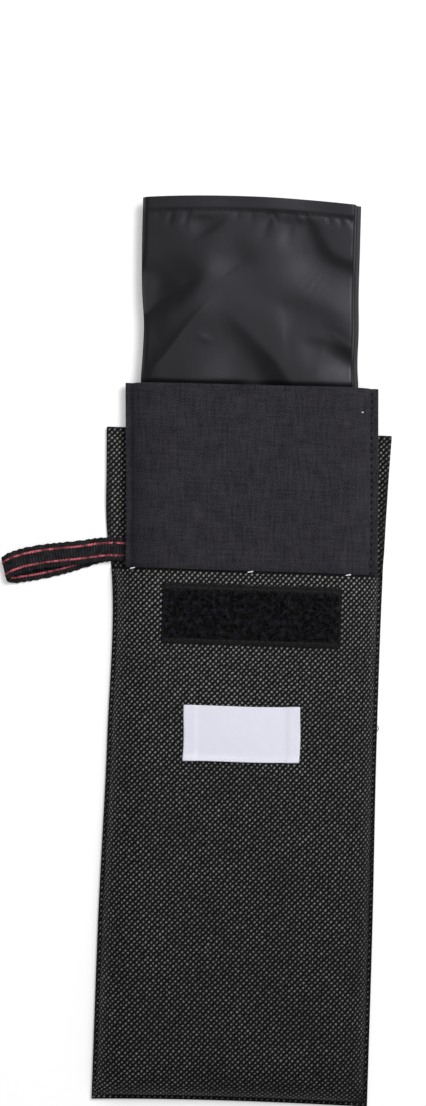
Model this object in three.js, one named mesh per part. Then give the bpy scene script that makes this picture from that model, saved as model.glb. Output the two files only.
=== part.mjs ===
// Evaporative cooling case for insulin, lying on its back with both inner bags drawn out.
// An outer case with a closing flap holds a water-soaked cooling pouch, which holds a nylon liner.
// Millimetres. +X right, +Y towards the mouths, +Z up from the table; the origin is the middle of
// the back of the outer case.
import * as THREE from "three";

// Clearances
const slideGap = 0.4; // between a bag and what it slides in
const sewnGap = 0.1; // between layers that are sewn together
const foldGap = 0.3; // where cloth folds or a strap swings
const endRoom = 9; // spare depth below a bag that is pushed home

// Cloths, tapes and threads
const caseCloth = 0.6;
const pouchCloth = 0.5;
const liningCloth = 0.4;
const linerCloth = 0.3;
const labelCloth = 0.35;
const loopTape = 1.2;
const hookTape = 1;
const webbing = 0.6;
const webbingWidth = 10;
const crystalLayer = 0.8;
const threadHeight = 0.15;
const threadWidth = 0.5;

// Liner: the innermost bag, which sets the size of what holds it
const linerWidth = 93;
const linerLength = 200;
const linerRoom = 5; // clear height inside the bag
const linerLip = 2; // flat seam along its edges
const linerShoulder = 14; // run of cloth that curves up from the seam
const linerHem = 6;
const linerDrawnOut = 81;
const linerShift = -1.2; // to the right of the case's middle line

// Cooling pouch
const pouchSideRoom = 0.7; // beyond what its shoulders need to clear the liner
const pouchLip = 3.5;
const pouchShoulder = 16;
const pouchHem = 10;
const pouchDrawnOut = 78;
const pouchShift = 0.8;
const crystalInset = 3; // from the edge of the level part of a wall

// Outer case and its flap
const caseSideRoom = 0.5; // beyond what its shoulders need to clear the pouch
const caseLip = 2;
const caseShoulder = 18;
const flapFlare = 2.4; // how much the flap widens on each side
const flapBeyondTape = 15;
const foldBelowTape = 5;

// Closing tapes and label
const tapeWidth = 75;
const tapeHeight = 25;
const tapeShift = 2.3; // the tapes sit a little right of the middle
const loopTapeBelowMouth = 6;
const tapeStitchInset = 1.6;
const labelWidth = 50;
const labelHeight = 24;
const labelBelowTape = 26;
const labelStitchInset = 1.2;

// Hanging loop, sewn down inside the left edge
const loopAboveMouth = 2.7;
const loopLength = 46;
const loopTipRadius = 4;
const loopDrop = 10.5; // how far its tip lies towards the bottom of the case
const loopStandOff = 2; // from the case's edge to the line it swings about
const tabLength = 14;
const tabStitchInset = 2.1;

// How finely curves are divided
const shoulderSteps = 6;
const arcSteps = 10;
const legSteps = 5;

// Heights, stacked up from the table
const threadRoom = sewnGap + threadHeight + slideGap;
const tabThickness = 2 * webbing + sewnGap;
const caseFloor = caseCloth + sewnGap;
const pouchFloor = caseFloor + Math.max(hookTape, tabThickness) + threadRoom;
const backLiningSeam = pouchFloor + pouchCloth + sewnGap;
const backLiningCrown = backLiningSeam + crystalLayer + sewnGap;
const linerFloor = backLiningCrown + liningCloth + threadRoom;
const linerSeam = linerFloor + linerCloth + sewnGap;
const linerCrown = linerFloor + linerCloth + linerRoom;
const frontLiningSeam = backLiningSeam + liningCloth + sewnGap;
const frontLiningCrown = linerCrown + linerCloth + threadRoom;
const pouchSeam = frontLiningSeam + liningCloth + sewnGap;
const pouchCrown = frontLiningCrown + liningCloth + sewnGap + crystalLayer + sewnGap;
const caseSeam = caseFloor;
const caseCrown = pouchCrown + pouchCloth + threadRoom;
const caseTop = caseCrown + caseCloth;

// How far in from its seam a shoulder, a quarter of an ellipse, has risen to a height.
function shoulderReach(shoulder, seam, crown, height) {
  const share = (height - seam) / (crown - seam);
  return shoulder * (1 - Math.sqrt(1 - share * share));
}

// Widths, built out from the liner
const linerHalf = linerWidth / 2;
const linerSeamTop = linerSeam + linerCloth + threadRoom;
const pouchReach = pouchLip + shoulderReach(pouchShoulder, frontLiningSeam, frontLiningCrown, linerSeamTop);
const pouchHalf = linerHalf + Math.abs(linerShift - pouchShift) + pouchSideRoom + pouchReach;
const pouchSeamTop = pouchSeam + pouchCloth + threadRoom;
const caseReach = caseLip + shoulderReach(caseShoulder, caseSeam, caseCrown, pouchSeamTop);
const caseHalf = pouchHalf + Math.abs(pouchShift) + caseSideRoom + caseReach;

// Lengths, built down from the liner
const pouchLength = linerLength + endRoom + pouchReach;
const caseLength = pouchLength + endRoom + caseReach;
const caseBottom = -caseLength / 2;
const caseMouth = caseLength / 2;
const pouchMouth = caseMouth + pouchDrawnOut;
const linerMouth = pouchMouth + linerDrawnOut;

// The flap's tape lands on the front tape once the flap is brought over the thickness of the case.
const loopTapeMiddle = caseMouth - loopTapeBelowMouth - tapeHeight / 2;
const hookTapeMiddle = caseMouth + caseTop + loopTapeBelowMouth + tapeHeight / 2;
const foldLine = hookTapeMiddle - tapeHeight / 2 - foldBelowTape;
const flapEdge = hookTapeMiddle + tapeHeight / 2 + flapBeyondTape;

// The bags' fronts: each rises from a flat seam round three sides to a level crown.
const outerCase = {
  middle: 0, half: caseHalf, lip: caseLip, shoulder: caseShoulder,
  bottom: caseBottom, mouth: caseMouth, seam: caseSeam, crown: caseCrown,
};
const pouch = {
  middle: pouchShift, half: pouchHalf, lip: pouchLip, shoulder: pouchShoulder,
  bottom: pouchMouth - pouchLength, mouth: pouchMouth, seam: pouchSeam, crown: pouchCrown,
};
const pouchFrontLining = { ...pouch, seam: frontLiningSeam, crown: frontLiningCrown };
const pouchBackLining = { ...pouch, seam: backLiningSeam, crown: backLiningCrown };
const liner = {
  middle: linerShift, half: linerHalf, lip: linerLip, shoulder: linerShoulder,
  bottom: linerMouth - linerLength, mouth: linerMouth, seam: linerSeam, crown: linerCrown,
};

const finishes = {
  caseCloth: { color: 0x2a2a2b, roughness: 0.7 },
  pouchCloth: { color: 0x2f2e33, roughness: 0.9 },
  liningCloth: { color: 0x26262a, roughness: 0.9 },
  linerNylon: { color: 0x37363b, roughness: 0.45 },
  tape: { color: 0x141318, roughness: 1 },
  label: { color: 0xe2e3ee, roughness: 0.6 },
  webbing: { color: 0x262a2a, roughness: 0.8 },
  crystals: { color: 0xe6e3da, roughness: 0.5 },
  thread: { color: 0x1b1b1d, roughness: 0.7 },
  labelThread: { color: 0xd9dae6, roughness: 0.7 },
};

const coolingCase = new THREE.Group();

function add(name, geometry, finish) {
  const mesh = new THREE.Mesh(geometry, new THREE.MeshStandardMaterial({ ...finishes[finish], metalness: 0 }));
  mesh.name = name;
  coolingCase.add(mesh);
  return mesh;
}

function rectangle(left, bottom, right, top) {
  return [[left, bottom], [right, bottom], [right, top], [left, top]];
}

function centredRectangle(width, height, x, y) {
  return rectangle(x - width / 2, y - height / 2, x + width / 2, y + height / 2);
}

// A flat piece cut to an outline, with its underside at a height.
function cutPiece(corners, height, thickness, hole = []) {
  const points = (outline) => outline.map(([x, y]) => new THREE.Vector2(x, y));
  const shape = new THREE.Shape(points(corners));
  if (hole.length) shape.holes.push(new THREE.Path(points(hole)));
  const geometry = new THREE.ExtrudeGeometry(shape, { depth: thickness, bevelEnabled: false });
  return geometry.translate(0, 0, height);
}

// A row of stitches round a rectangle, as one closed thread lying on a surface.
function stitchedFrame(width, height, inset, x, y, surface) {
  const outer = centredRectangle(width - 2 * inset, height - 2 * inset, x, y);
  const inner = centredRectangle(width - 2 * (inset + threadWidth), height - 2 * (inset + threadWidth), x, y);
  return cutPiece(outer, surface + sewnGap, threadHeight, inner);
}

// The share of a shoulder's rise, from 0 at the seam to 1 on the level crown.
function rise(distance, shoulder) {
  const fromCrown = 1 - THREE.MathUtils.clamp(distance / shoulder, 0, 1);
  return Math.sqrt(1 - fromCrown * fromCrown);
}

function underside(bag) {
  return (x, y) => {
    const across = rise(bag.half - bag.lip - Math.abs(x - bag.middle), bag.shoulder);
    const along = rise(y - bag.bottom - bag.lip, bag.shoulder);
    return bag.seam + (bag.crown - bag.seam) * across * along;
  };
}

// Distances from the seam, closer together where the shoulder is steeper.
function shoulderStations(bag) {
  const quarterTurn = Math.PI / 2;
  return Array.from({ length: shoulderSteps + 1 },
    (_, i) => bag.lip + bag.shoulder * (1 - Math.cos((quarterTurn * i) / shoulderSteps)));
}

// Places across a bag from the inside of one seam to the inside of the other.
function stationsBetweenSeams(bag) {
  const fromMiddle = shoulderStations(bag).map((distance) => bag.half - distance);
  return [...fromMiddle.map((x) => bag.middle - x), ...fromMiddle.reverse().map((x) => bag.middle + x)];
}

// Splits the squares of the underside along the same diagonals as the top's, so that sheets laid one
// over another keep their gap in the corners.
function splitUndersideLikeTop(geometry) {
  const { start, count } = geometry.groups.at(-1);
  const index = geometry.index;
  for (let i = start; i < start + count; i += 6) {
    const [a, b, d, c] = [0, 1, 2, 4].map((offset) => index.getX(i + offset));
    [a, b, c, a, c, d].forEach((corner, offset) => index.setX(i + offset, corner));
  }
}

// A sheet laid over a surface: a box whose grid is moved on to the stations.
function laidSheet(across, along, surface, thickness) {
  const geometry = new THREE.BoxGeometry(1, 1, 1, across.length - 1, along.length - 1, 1);
  const place = geometry.attributes.position;
  for (let i = 0; i < place.count; i++) {
    const x = across[Math.round((place.getX(i) + 0.5) * (across.length - 1))];
    const y = along[Math.round((place.getY(i) + 0.5) * (along.length - 1))];
    const lift = place.getZ(i) > 0 ? thickness : 0;
    place.setXYZ(i, x, y, surface(x, y) + lift);
  }
  splitUndersideLikeTop(geometry);
  geometry.computeVertexNormals();
  return geometry;
}

function bagFront(bag, thickness) {
  const across = [bag.middle - bag.half, ...stationsBetweenSeams(bag), bag.middle + bag.half];
  const fromBottom = [0, ...shoulderStations(bag), bag.mouth - bag.bottom];
  const along = fromBottom.map((distance) => bag.bottom + distance);
  return laidSheet(across, along, underside(bag), thickness);
}

// Stitches of the front's hem, which run from seam to seam on top of its cloth.
function frontHemStitches(bag, thickness, hem) {
  const middle = bag.mouth - hem;
  const along = [middle - threadWidth / 2, middle + threadWidth / 2];
  const surface = underside(bag);
  const onTop = (x, y) => surface(x, y) + thickness + sewnGap;
  return laidSheet(stationsBetweenSeams(bag), along, onTop, threadHeight);
}

// Stitches of the back's hem, seen inside a bag across its level part.
function backHemStitches(bag, surface, hem) {
  const width = 2 * (bag.half - bag.lip - bag.shoulder);
  const line = centredRectangle(width, threadWidth, bag.middle, bag.mouth - hem);
  return cutPiece(line, surface + sewnGap, threadHeight);
}

// Side and bottom seams: three threads on top of a bag's flat lip.
function addSeamThreads(name, bag, thickness) {
  const height = bag.seam + thickness + sewnGap;
  const fromEdge = bag.lip / 2;
  const side = bag.half - fromEdge;
  const bottom = bag.bottom + fromEdge;
  const sideLength = bag.mouth - bottom - threadWidth;
  const sideMiddle = bag.mouth - sideLength / 2;
  const left = centredRectangle(threadWidth, sideLength, bag.middle - side, sideMiddle);
  const right = centredRectangle(threadWidth, sideLength, bag.middle + side, sideMiddle);
  const across = centredRectangle(2 * side - threadWidth, threadWidth, bag.middle, bottom);
  add(`${name}_left_seam_thread`, cutPiece(left, height, threadHeight), "thread");
  add(`${name}_right_seam_thread`, cutPiece(right, height, threadHeight), "thread");
  add(`${name}_bottom_seam_thread`, cutPiece(across, height, threadHeight), "thread");
}

// Half the width of the back at a height above the mouth, where it flares towards the flap's edge.
function flapHalf(y) {
  return caseHalf + (flapFlare * (y - caseMouth)) / (flapEdge - caseMouth);
}

function addOuterCase() {
  const back = [
    [-caseHalf, caseBottom], [caseHalf, caseBottom], [caseHalf, caseMouth],
    [flapHalf(foldLine), foldLine], [-flapHalf(foldLine), foldLine], [-caseHalf, caseMouth],
  ];
  add("outer_back_panel", cutPiece(back, 0, caseCloth), "caseCloth");
  add("outer_front_panel", bagFront(outerCase, caseCloth), "caseCloth");
  addSeamThreads("case", outerCase, caseCloth);
}

function addClosureFlap() {
  const start = foldLine + foldGap;
  const flap = [
    [-flapHalf(start), start], [flapHalf(start), start],
    [flapHalf(flapEdge), flapEdge], [-flapHalf(flapEdge), flapEdge],
  ];
  add("closure_flap", cutPiece(flap, 0, caseCloth), "caseCloth");
  const tape = centredRectangle(tapeWidth, tapeHeight, tapeShift, hookTapeMiddle);
  add("flap_hook_tape", cutPiece(tape, caseFloor, hookTape), "tape");
  const stitches = stitchedFrame(tapeWidth, tapeHeight, tapeStitchInset,
    tapeShift, hookTapeMiddle, caseFloor + hookTape);
  add("hook_tape_stitching", stitches, "thread");
}

function addFrontTape() {
  const height = caseTop + sewnGap;
  const tape = centredRectangle(tapeWidth, tapeHeight, tapeShift, loopTapeMiddle);
  add("front_loop_tape", cutPiece(tape, height, loopTape), "tape");
  const stitches = stitchedFrame(tapeWidth, tapeHeight, tapeStitchInset,
    tapeShift, loopTapeMiddle, height + loopTape);
  add("loop_tape_stitching", stitches, "thread");
}

function addLabel() {
  const height = caseTop + sewnGap;
  const middle = loopTapeMiddle - tapeHeight / 2 - labelBelowTape - labelHeight / 2;
  const label = centredRectangle(labelWidth, labelHeight, 0, middle);
  add("sewn_label", cutPiece(label, height, labelCloth), "label");
  const stitches = stitchedFrame(labelWidth, labelHeight, labelStitchInset, 0, middle, height + labelCloth);
  add("label_stitching", stitches, "labelThread");
}

// The outline of a band stretched round two circles that stand a distance apart.
function stretchedBand(start, startRadius, end, endRadius) {
  const lean = Math.atan2(end.y - start.y, end.x - start.x);
  const touch = Math.acos((startRadius - endRadius) / start.distanceTo(end));
  const onCircle = (centre, radius, angle) =>
    new THREE.Vector2(centre.x + radius * Math.cos(angle), centre.y + radius * Math.sin(angle));
  const arc = (centre, radius, from, to) => Array.from({ length: arcSteps + 1 },
    (_, i) => onCircle(centre, radius, from + ((to - from) * i) / arcSteps));
  const leg = (from, to) => Array.from({ length: legSteps - 1 },
    (_, i) => from.clone().lerp(to, (i + 1) / legSteps));
  const startArc = arc(start, startRadius, lean + touch, lean + 2 * Math.PI - touch);
  const endArc = arc(end, endRadius, lean - touch, lean + touch);
  return [
    ...startArc, ...leg(startArc.at(-1), endArc[0]), ...endArc, ...leg(endArc.at(-1), startArc[0]),
  ];
}

// The free part of the webbing, seen along its width: it runs out from the root, turns and comes back.
function loopRibbon(rootRadius, tip) {
  const root = new THREE.Vector2(0, 0);
  const ribbon = new THREE.Shape(stretchedBand(root, rootRadius, tip, loopTipRadius));
  const eyeShare = webbing / (2 * loopTipRadius);
  const eyeStart = root.clone().lerp(tip, eyeShare);
  const eyeStartRadius = THREE.MathUtils.lerp(rootRadius, loopTipRadius, eyeShare) - webbing;
  ribbon.holes.push(new THREE.Path(stretchedBand(eyeStart, eyeStartRadius, tip, loopTipRadius - webbing)));
  return ribbon;
}

// Hanging loop: a webbing folded in half, with both ends sewn down just above the mouth.
function addHangingLoop() {
  const middle = caseMouth + loopAboveMouth + webbingWidth / 2;
  const edge = -flapHalf(middle);
  const swingLine = edge - loopStandOff;
  const rootRadius = tabThickness / 2;
  const tab = rectangle(swingLine + rootRadius + foldGap, middle - webbingWidth / 2,
    edge + tabLength, middle + webbingWidth / 2);
  add("loop_anchor_tab", cutPiece(tab, caseFloor, tabThickness), "webbing");
  const stitches = centredRectangle(threadWidth, webbingWidth, edge + tabStitchInset, middle);
  add("loop_anchor_stitching", cutPiece(stitches, caseFloor + tabThickness + sewnGap, threadHeight), "thread");

  const swingHeight = caseFloor + rootRadius;
  const tip = new THREE.Vector2(loopLength - loopTipRadius, loopTipRadius + sewnGap - swingHeight);
  const ribbon = loopRibbon(rootRadius, tip);
  const geometry = new THREE.ExtrudeGeometry(ribbon, { depth: webbingWidth, bevelEnabled: false });
  geometry.translate(0, 0, -webbingWidth / 2).rotateX(Math.PI / 2).rotateZ(Math.PI);
  const place = geometry.attributes.position;
  for (let i = 0; i < place.count; i++) {
    const share = place.getX(i) / loopLength;
    place.setY(i, place.getY(i) - loopDrop * share * share);
  }
  geometry.computeVertexNormals();
  const loop = add("hanging_loop", geometry, "webbing");
  loop.position.set(swingLine, middle, swingHeight);
}

// The flat back of a bag.
function bagBack(bag, height, thickness) {
  const outline = rectangle(bag.middle - bag.half, bag.bottom, bag.middle + bag.half, bag.mouth);
  return cutPiece(outline, height, thickness);
}

// Cooling pouch: each wall is two cloths with water-swelling crystals between them.
function addCoolingPouch() {
  add("pouch_back_cloth", bagBack(pouch, pouchFloor, pouchCloth), "pouchCloth");
  add("pouch_back_lining", bagFront(pouchBackLining, liningCloth), "liningCloth");
  add("pouch_front_lining", bagFront(pouchFrontLining, liningCloth), "liningCloth");
  add("pouch_front_cloth", bagFront(pouch, pouchCloth), "pouchCloth");

  const inset = pouchLip + pouchShoulder + crystalInset;
  const layer = rectangle(pouch.middle - pouch.half + inset, pouch.bottom + inset,
    pouch.middle + pouch.half - inset, pouch.mouth - pouchHem - crystalInset);
  add("crystal_layer_back", cutPiece(layer, backLiningSeam, crystalLayer), "crystals");
  const frontLayerHeight = frontLiningCrown + liningCloth + sewnGap;
  add("crystal_layer_front", cutPiece(layer, frontLayerHeight, crystalLayer), "crystals");

  addSeamThreads("pouch", pouch, pouchCloth);
  add("pouch_front_hem_thread", frontHemStitches(pouch, pouchCloth, pouchHem), "thread");
  const backHemStitching = backHemStitches(pouch, backLiningCrown + liningCloth, pouchHem);
  add("pouch_back_hem_thread", backHemStitching, "thread");
}

// Liner: a nylon bag with a turned hem round its mouth.
function addLiner() {
  add("liner_back_panel", bagBack(liner, linerFloor, linerCloth), "linerNylon");
  add("liner_front_panel", bagFront(liner, linerCloth), "linerNylon");
  addSeamThreads("liner", liner, linerCloth);
  add("liner_front_hem_thread", frontHemStitches(liner, linerCloth, linerHem), "thread");
  add("liner_back_hem_thread", backHemStitches(liner, linerFloor + linerCloth, linerHem), "thread");
}

addOuterCase();
addClosureFlap();
addFrontTape();
addLabel();
addHangingLoop();
addCoolingPouch();
addLiner();

export default coolingCase;
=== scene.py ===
import math

import bpy
import numpy as np
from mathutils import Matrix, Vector


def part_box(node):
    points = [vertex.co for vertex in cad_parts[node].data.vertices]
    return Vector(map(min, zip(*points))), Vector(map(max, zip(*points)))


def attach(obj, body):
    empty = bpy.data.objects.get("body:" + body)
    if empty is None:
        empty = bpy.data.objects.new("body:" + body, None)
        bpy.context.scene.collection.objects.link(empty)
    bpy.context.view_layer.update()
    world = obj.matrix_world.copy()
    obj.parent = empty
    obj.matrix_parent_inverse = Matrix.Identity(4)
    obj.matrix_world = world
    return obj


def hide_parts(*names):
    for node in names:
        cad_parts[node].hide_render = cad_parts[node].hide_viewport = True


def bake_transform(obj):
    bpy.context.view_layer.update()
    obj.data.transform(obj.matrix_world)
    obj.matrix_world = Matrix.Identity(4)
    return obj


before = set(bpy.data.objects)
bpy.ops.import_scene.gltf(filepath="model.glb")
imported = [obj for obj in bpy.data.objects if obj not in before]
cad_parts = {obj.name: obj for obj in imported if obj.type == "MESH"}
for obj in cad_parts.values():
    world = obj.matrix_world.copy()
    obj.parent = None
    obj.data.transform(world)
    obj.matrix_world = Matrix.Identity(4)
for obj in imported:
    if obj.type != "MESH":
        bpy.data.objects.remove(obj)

scene = bpy.context.scene
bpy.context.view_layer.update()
mm = 0.001


# Studio. The case lies on its back on a white table, under a wide soft light at its upper right
# and a weaker one overhead. The camera looks straight down through a long lens, turned a
# little, so that the case leans to the right as it was laid.

photo_width, photo_height = 426, 1106
pixels_per_mm = 2.35
pocket_middle_pixel = (238.5, 836.5)
case_lean = math.radians(1.9)
lens_mm, sensor_mm = 100, 36
focus_height = 6 * mm

view_length = photo_height / pixels_per_mm * mm
view_across = (photo_width / 2 - pocket_middle_pixel[0]) / pixels_per_mm * mm
view_along = (pocket_middle_pixel[1] - photo_height / 2) / pixels_per_mm * mm
image_right = Vector((math.cos(case_lean), math.sin(case_lean), 0))
image_up = Vector((-math.sin(case_lean), math.cos(case_lean), 0))
view_middle = image_right * view_across + image_up * view_along


def placed(name, data):
    """A new object in the scene, made of the given mesh, lamp or lens."""
    item = bpy.data.objects.new(name, data)
    scene.collection.objects.link(item)
    return item


lens = bpy.data.cameras.new("camera")
lens.lens = lens_mm
lens.sensor_width = sensor_mm
camera = placed("camera", lens)
camera_height = focus_height + view_length * lens_mm / sensor_mm
camera.location = view_middle + Vector((0, 0, camera_height))
camera.rotation_euler = (0, 0, case_lean)
scene.camera = camera


def soft_light(name, place, size, power, target):
    lamp = bpy.data.lights.new(name, "AREA")
    lamp.size = size
    lamp.energy = power
    light = placed(name, lamp)
    light.location = place
    light.rotation_euler = (Vector(target) - Vector(place)).to_track_quat("-Z", "Y").to_euler()


soft_light("main_light", place=(0.6, 0.8, 1.2), size=0.7, power=15.0, target=(0, 0.15, 0))
soft_light("overhead_light", place=(0, 0.1, 1.8), size=1.0, power=3.0, target=(0, 0.1, 0))

sky = bpy.data.worlds.new("studio")
sky.use_nodes = True
sky_glow = sky.node_tree.nodes["Background"].inputs
sky_glow["Color"].default_value = (1, 1, 1, 1)
sky_glow["Strength"].default_value = 0.33
scene.world = sky
scene.view_settings.view_transform = "Standard"


def paint(red, green, blue):
    """A colour as a screen shows it, 0 to 255, as the linear colour that a shader takes."""
    shares = np.array([red, green, blue]) / 255
    linear = np.where(shares <= 0.04045, shares / 12.92, ((shares + 0.055) / 1.055) ** 2.4)
    return (*linear.tolist(), 1.0)


def finish_of(name, roughness, gloss, sheen=0.0):
    """A new material with its shader, whose even values are set on the shader itself."""
    material = bpy.data.materials.new(name)
    material.use_nodes = True
    tree = material.node_tree
    shader = tree.nodes["Principled BSDF"]
    shader.inputs["Roughness"].default_value = roughness
    shader.inputs["Specular IOR Level"].default_value = gloss
    shader.inputs["Sheen Weight"].default_value = sheen
    return material, tree, shader


def add_node(tree, kind, inputs, **settings):
    """A new node with its settings. Each input gets a value or another node's output."""
    node = tree.nodes.new(kind)
    for name, value in settings.items():
        setattr(node, name, value)
    for name, value in inputs.items():
        if isinstance(value, bpy.types.NodeSocket):
            tree.links.new(value, node.inputs[name])
        else:
            node.inputs[name].default_value = value
    return node.outputs


def math_node(tree, operation, *values):
    """One step of arithmetic, in which each value is a number or another node's output."""
    return add_node(tree, "ShaderNodeMath", dict(enumerate(values)), operation=operation)[0]


def ramp(tree, value, low, high, at_low, at_high):
    """A value that goes smoothly from at_low to at_high while the given one goes from low to high."""
    ends = {"From Min": low, "From Max": high, "To Min": at_low, "To Max": at_high}
    smooth = {"interpolation_type": "SMOOTHSTEP"}
    return add_node(tree, "ShaderNodeMapRange", {"Value": value, **ends}, **smooth)["Result"]


def tint(tree, shader, share, first, second):
    """Colours a shader between two paints, by a share from 0 to 1."""
    mixed = add_node(tree, "ShaderNodeMix", {"Factor": share, 6: first, 7: second}, data_type="RGBA")
    tree.links.new(mixed[2], shader.inputs["Base Color"])


def on_object(tree):
    """Where a point lies on the finished piece, in metres."""
    return add_node(tree, "ShaderNodeTexCoord", {})["Object"]


def mottle(tree, vector, scale, detail=2.0):
    """Soft random patches from 0 to 1."""
    return add_node(tree, "ShaderNodeTexNoise", {"Vector": vector, "Scale": scale, "Detail": detail})["Fac"]


def raise_surface(tree, shader, height, depth, strength=1.0):
    """Lets fine relief catch the light."""
    bump = add_node(tree, "ShaderNodeBump", {"Height": height, "Distance": depth, "Strength": strength})
    tree.links.new(bump["Normal"], shader.inputs["Normal"])


table_white, table_grey = paint(252, 252, 252), paint(247, 247, 248)
table_glow = 0.25
table_reach = 5.0
table_level = -0.3 * mm
table_top, tree, shader = finish_of("table_top", roughness=0.8, gloss=0.1)
tint(tree, shader, mottle(tree, on_object(tree), 3.0), table_white, table_grey)
ray = add_node(tree, "ShaderNodeLightPath", {})
seen = math_node(tree, "ADD", ray["Is Camera Ray"], ray["Is Glossy Ray"])
seen = math_node(tree, "MINIMUM", math_node(tree, "ADD", seen, ray["Is Transmission Ray"]), 1.0)
tree.links.new(math_node(tree, "MULTIPLY", seen, table_glow), shader.inputs["Emission Strength"])
shader.inputs["Emission Color"].default_value = (1, 1, 1, 1)
table_corners = [(-table_reach, -table_reach), (table_reach, -table_reach)]
table_corners += [(table_reach, table_reach), (-table_reach, table_reach)]
table_mesh = bpy.data.meshes.new("table")
table_mesh.from_pydata([(x, y, table_level) for x, y in table_corners], [], [(0, 1, 2, 3)])
table_mesh.materials.append(table_top)
table = placed("table", table_mesh)


# Back and flap. One length of black coated oxford cloth makes the back of the case and runs on
# past the mouth as the closing flap. The weave is so coarse that its thread crossings show as
# rows of dots. The flap's three free edges are turned over and stitched down.

oxford_thickness = 0.6 * mm
back_low, back_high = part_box("outer_back_panel")
flap_low, flap_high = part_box("closure_flap")
front_low, front_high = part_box("outer_front_panel")
flap_trim = 1.2 * mm
case_bottom, case_mouth, flap_end = back_low.y, front_high.y, flap_high.y - flap_trim
fold_line = (back_high.y + flap_low.y) / 2
back_step = 1.4 * mm
seam_lip = 2.0 * mm
turned_edge, turned_gain = 2.1 * mm, 0.85
flap_stitch_inset, flap_dip_width, stitch_sink = 0.8 * turned_edge, 0.35 * mm, 0.35
edge_curl, curl_width = 0.5 * mm, 6 * mm
# The first value paints the dots of the whole flap brighter, as painted light.
flap_painted_light, edge_wear = 0.53, 0.6
plain_edge = (1.2 * mm, 2.2 * mm)
# Where along the case the flap's turned edges, their curl and their wear set in.
turned_start = (fold_line - 12 * mm, fold_line - 4 * mm)
curl_start = (fold_line + 4 * mm, fold_line + 14 * mm)
wear_start = (fold_line + 15 * mm, flap_end - 5 * mm)
corner_reach = 58.5 * mm
bottom_drop, corner_drops, drop_height = 0.25 * mm, (1.1 * mm, 0.7 * mm), 45 * mm


def curve_through(knots, values, places):
    """A smooth curve through a few chosen points, read at the given places."""
    slopes = np.gradient(values, knots, axis=0)
    at = np.clip(np.searchsorted(knots, places) - 1, 0, len(knots) - 2)
    span = knots[at + 1] - knots[at]
    t = np.clip((places - knots[at]) / span, 0, 1)
    if np.ndim(values) > 1:
        t, span = t[..., None], span[..., None]
    start = (1 + 2 * t) * (1 - t) ** 2 * values[at] + t * (1 - t) ** 2 * span * slopes[at]
    end = t**2 * (3 - 2 * t) * values[at + 1] + t**2 * (t - 1) * span * slopes[at + 1]
    return start + end


def edges_through(heights, lefts, rights):
    """A function for the left and right edges of a bag, which wander through places in millimetres."""
    heights, lefts, rights = (np.array(places) * mm for places in (heights, lefts, rights))
    return lambda y: (curve_through(heights, lefts, y), curve_through(heights, rights, y))


# The side edges wander as sewn cloth does, and the flap widens towards its end.
case_edges = edges_through(
    (-112.9, -37.0, 39.0, 113.0, 131.0, 155.0, 173.5),
    (-58.8, -58.5, -57.2, -57.9, -60.3, -61.1, -61.6),
    (58.5, 58.3, 57.5, 57.7, 58.0, 58.7, 59.5),
)


def ease(value, low, high):
    """0 up to low, 1 from high on, and smooth between."""
    t = np.clip((value - low) / (high - low), 0, 1)
    return t * t * (3 - 2 * t)


def bell(distance, width):
    """1 in the middle, and down to nothing on both sides."""
    return np.exp(-((distance / width) ** 2))


def dropped(x, y):
    """How far up a place of the case lies, because its bottom corners hang lower than its middle."""
    drop = bottom_drop + np.where(x < 0, *corner_drops) * (x / corner_reach) ** 2
    return y - drop * (1 - ease(y, case_bottom, case_bottom + drop_height))


def close_at_ends(length, step, near=(0, 0.3, 0.8, 1.3, 1.8, 2.3, 3.0)):
    """Places from 0 to length about a step apart, with closer ones next to both ends."""
    close = np.array(near) * mm
    count = max(2, round((length - 2 * close[-1]) / step) + 1)
    middle = np.linspace(close[-1], length - close[-1], count)[1:-1]
    return np.concatenate([close, middle, length - close[::-1]])


def grid_between(left, right, y, step):
    """Rows of points from a left edge to a right edge, one row for each y."""
    width = float(np.mean(right - left))
    shares = close_at_ends(width, step) / width
    x = left[:, None] + (right - left)[:, None] * shares[None, :]
    return x, np.repeat(y[:, None], len(shares), axis=1)


def grid_normals(points):
    normals = np.cross(np.gradient(points, axis=1), np.gradient(points, axis=0))
    return normals / np.linalg.norm(normals, axis=2, keepdims=True)


def grid_ring(rows, columns):
    """Row and column of each point on the rim of a grid, once round."""
    ring = [(0, i) for i in range(columns)] + [(j, columns - 1) for j in range(1, rows)]
    ring += [(rows - 1, i) for i in range(columns - 2, -1, -1)] + [(j, 0) for j in range(rows - 2, 0, -1)]
    return tuple(np.array(ring).T)


def grid_quads(rows, columns):
    """The four corners of each face of a grid."""
    number = np.arange(rows * columns).reshape(rows, columns)
    quads = np.stack([number[:-1, :-1], number[:-1, 1:], number[1:, 1:], number[1:, :-1]], axis=-1)
    return quads.reshape(-1, 4)


def flat_places(middle, weave_rise):
    """Each point's place in metres on the flat cloth. Climbs count by the share weave_rise, because
    the cloth gives where it swells."""
    level = middle * np.array([1, 1, weave_rise])
    rows, columns = level.shape[:2]
    across = np.linalg.norm(np.diff(level, axis=1), axis=2)
    along = np.linalg.norm(np.diff(level, axis=0), axis=2)
    u = np.concatenate([np.zeros((rows, 1)), np.cumsum(across, axis=1)], axis=1)
    v = np.concatenate([np.zeros((1, columns)), np.cumsum(along, axis=0)], axis=0)
    centre = [columns // 2]
    return np.stack([u - u[:, centre], np.repeat(v[:, centre], columns, axis=1)], axis=-1)


def run_length(points):
    return float(np.linalg.norm(np.diff(points, axis=0), axis=1).sum())


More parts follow.
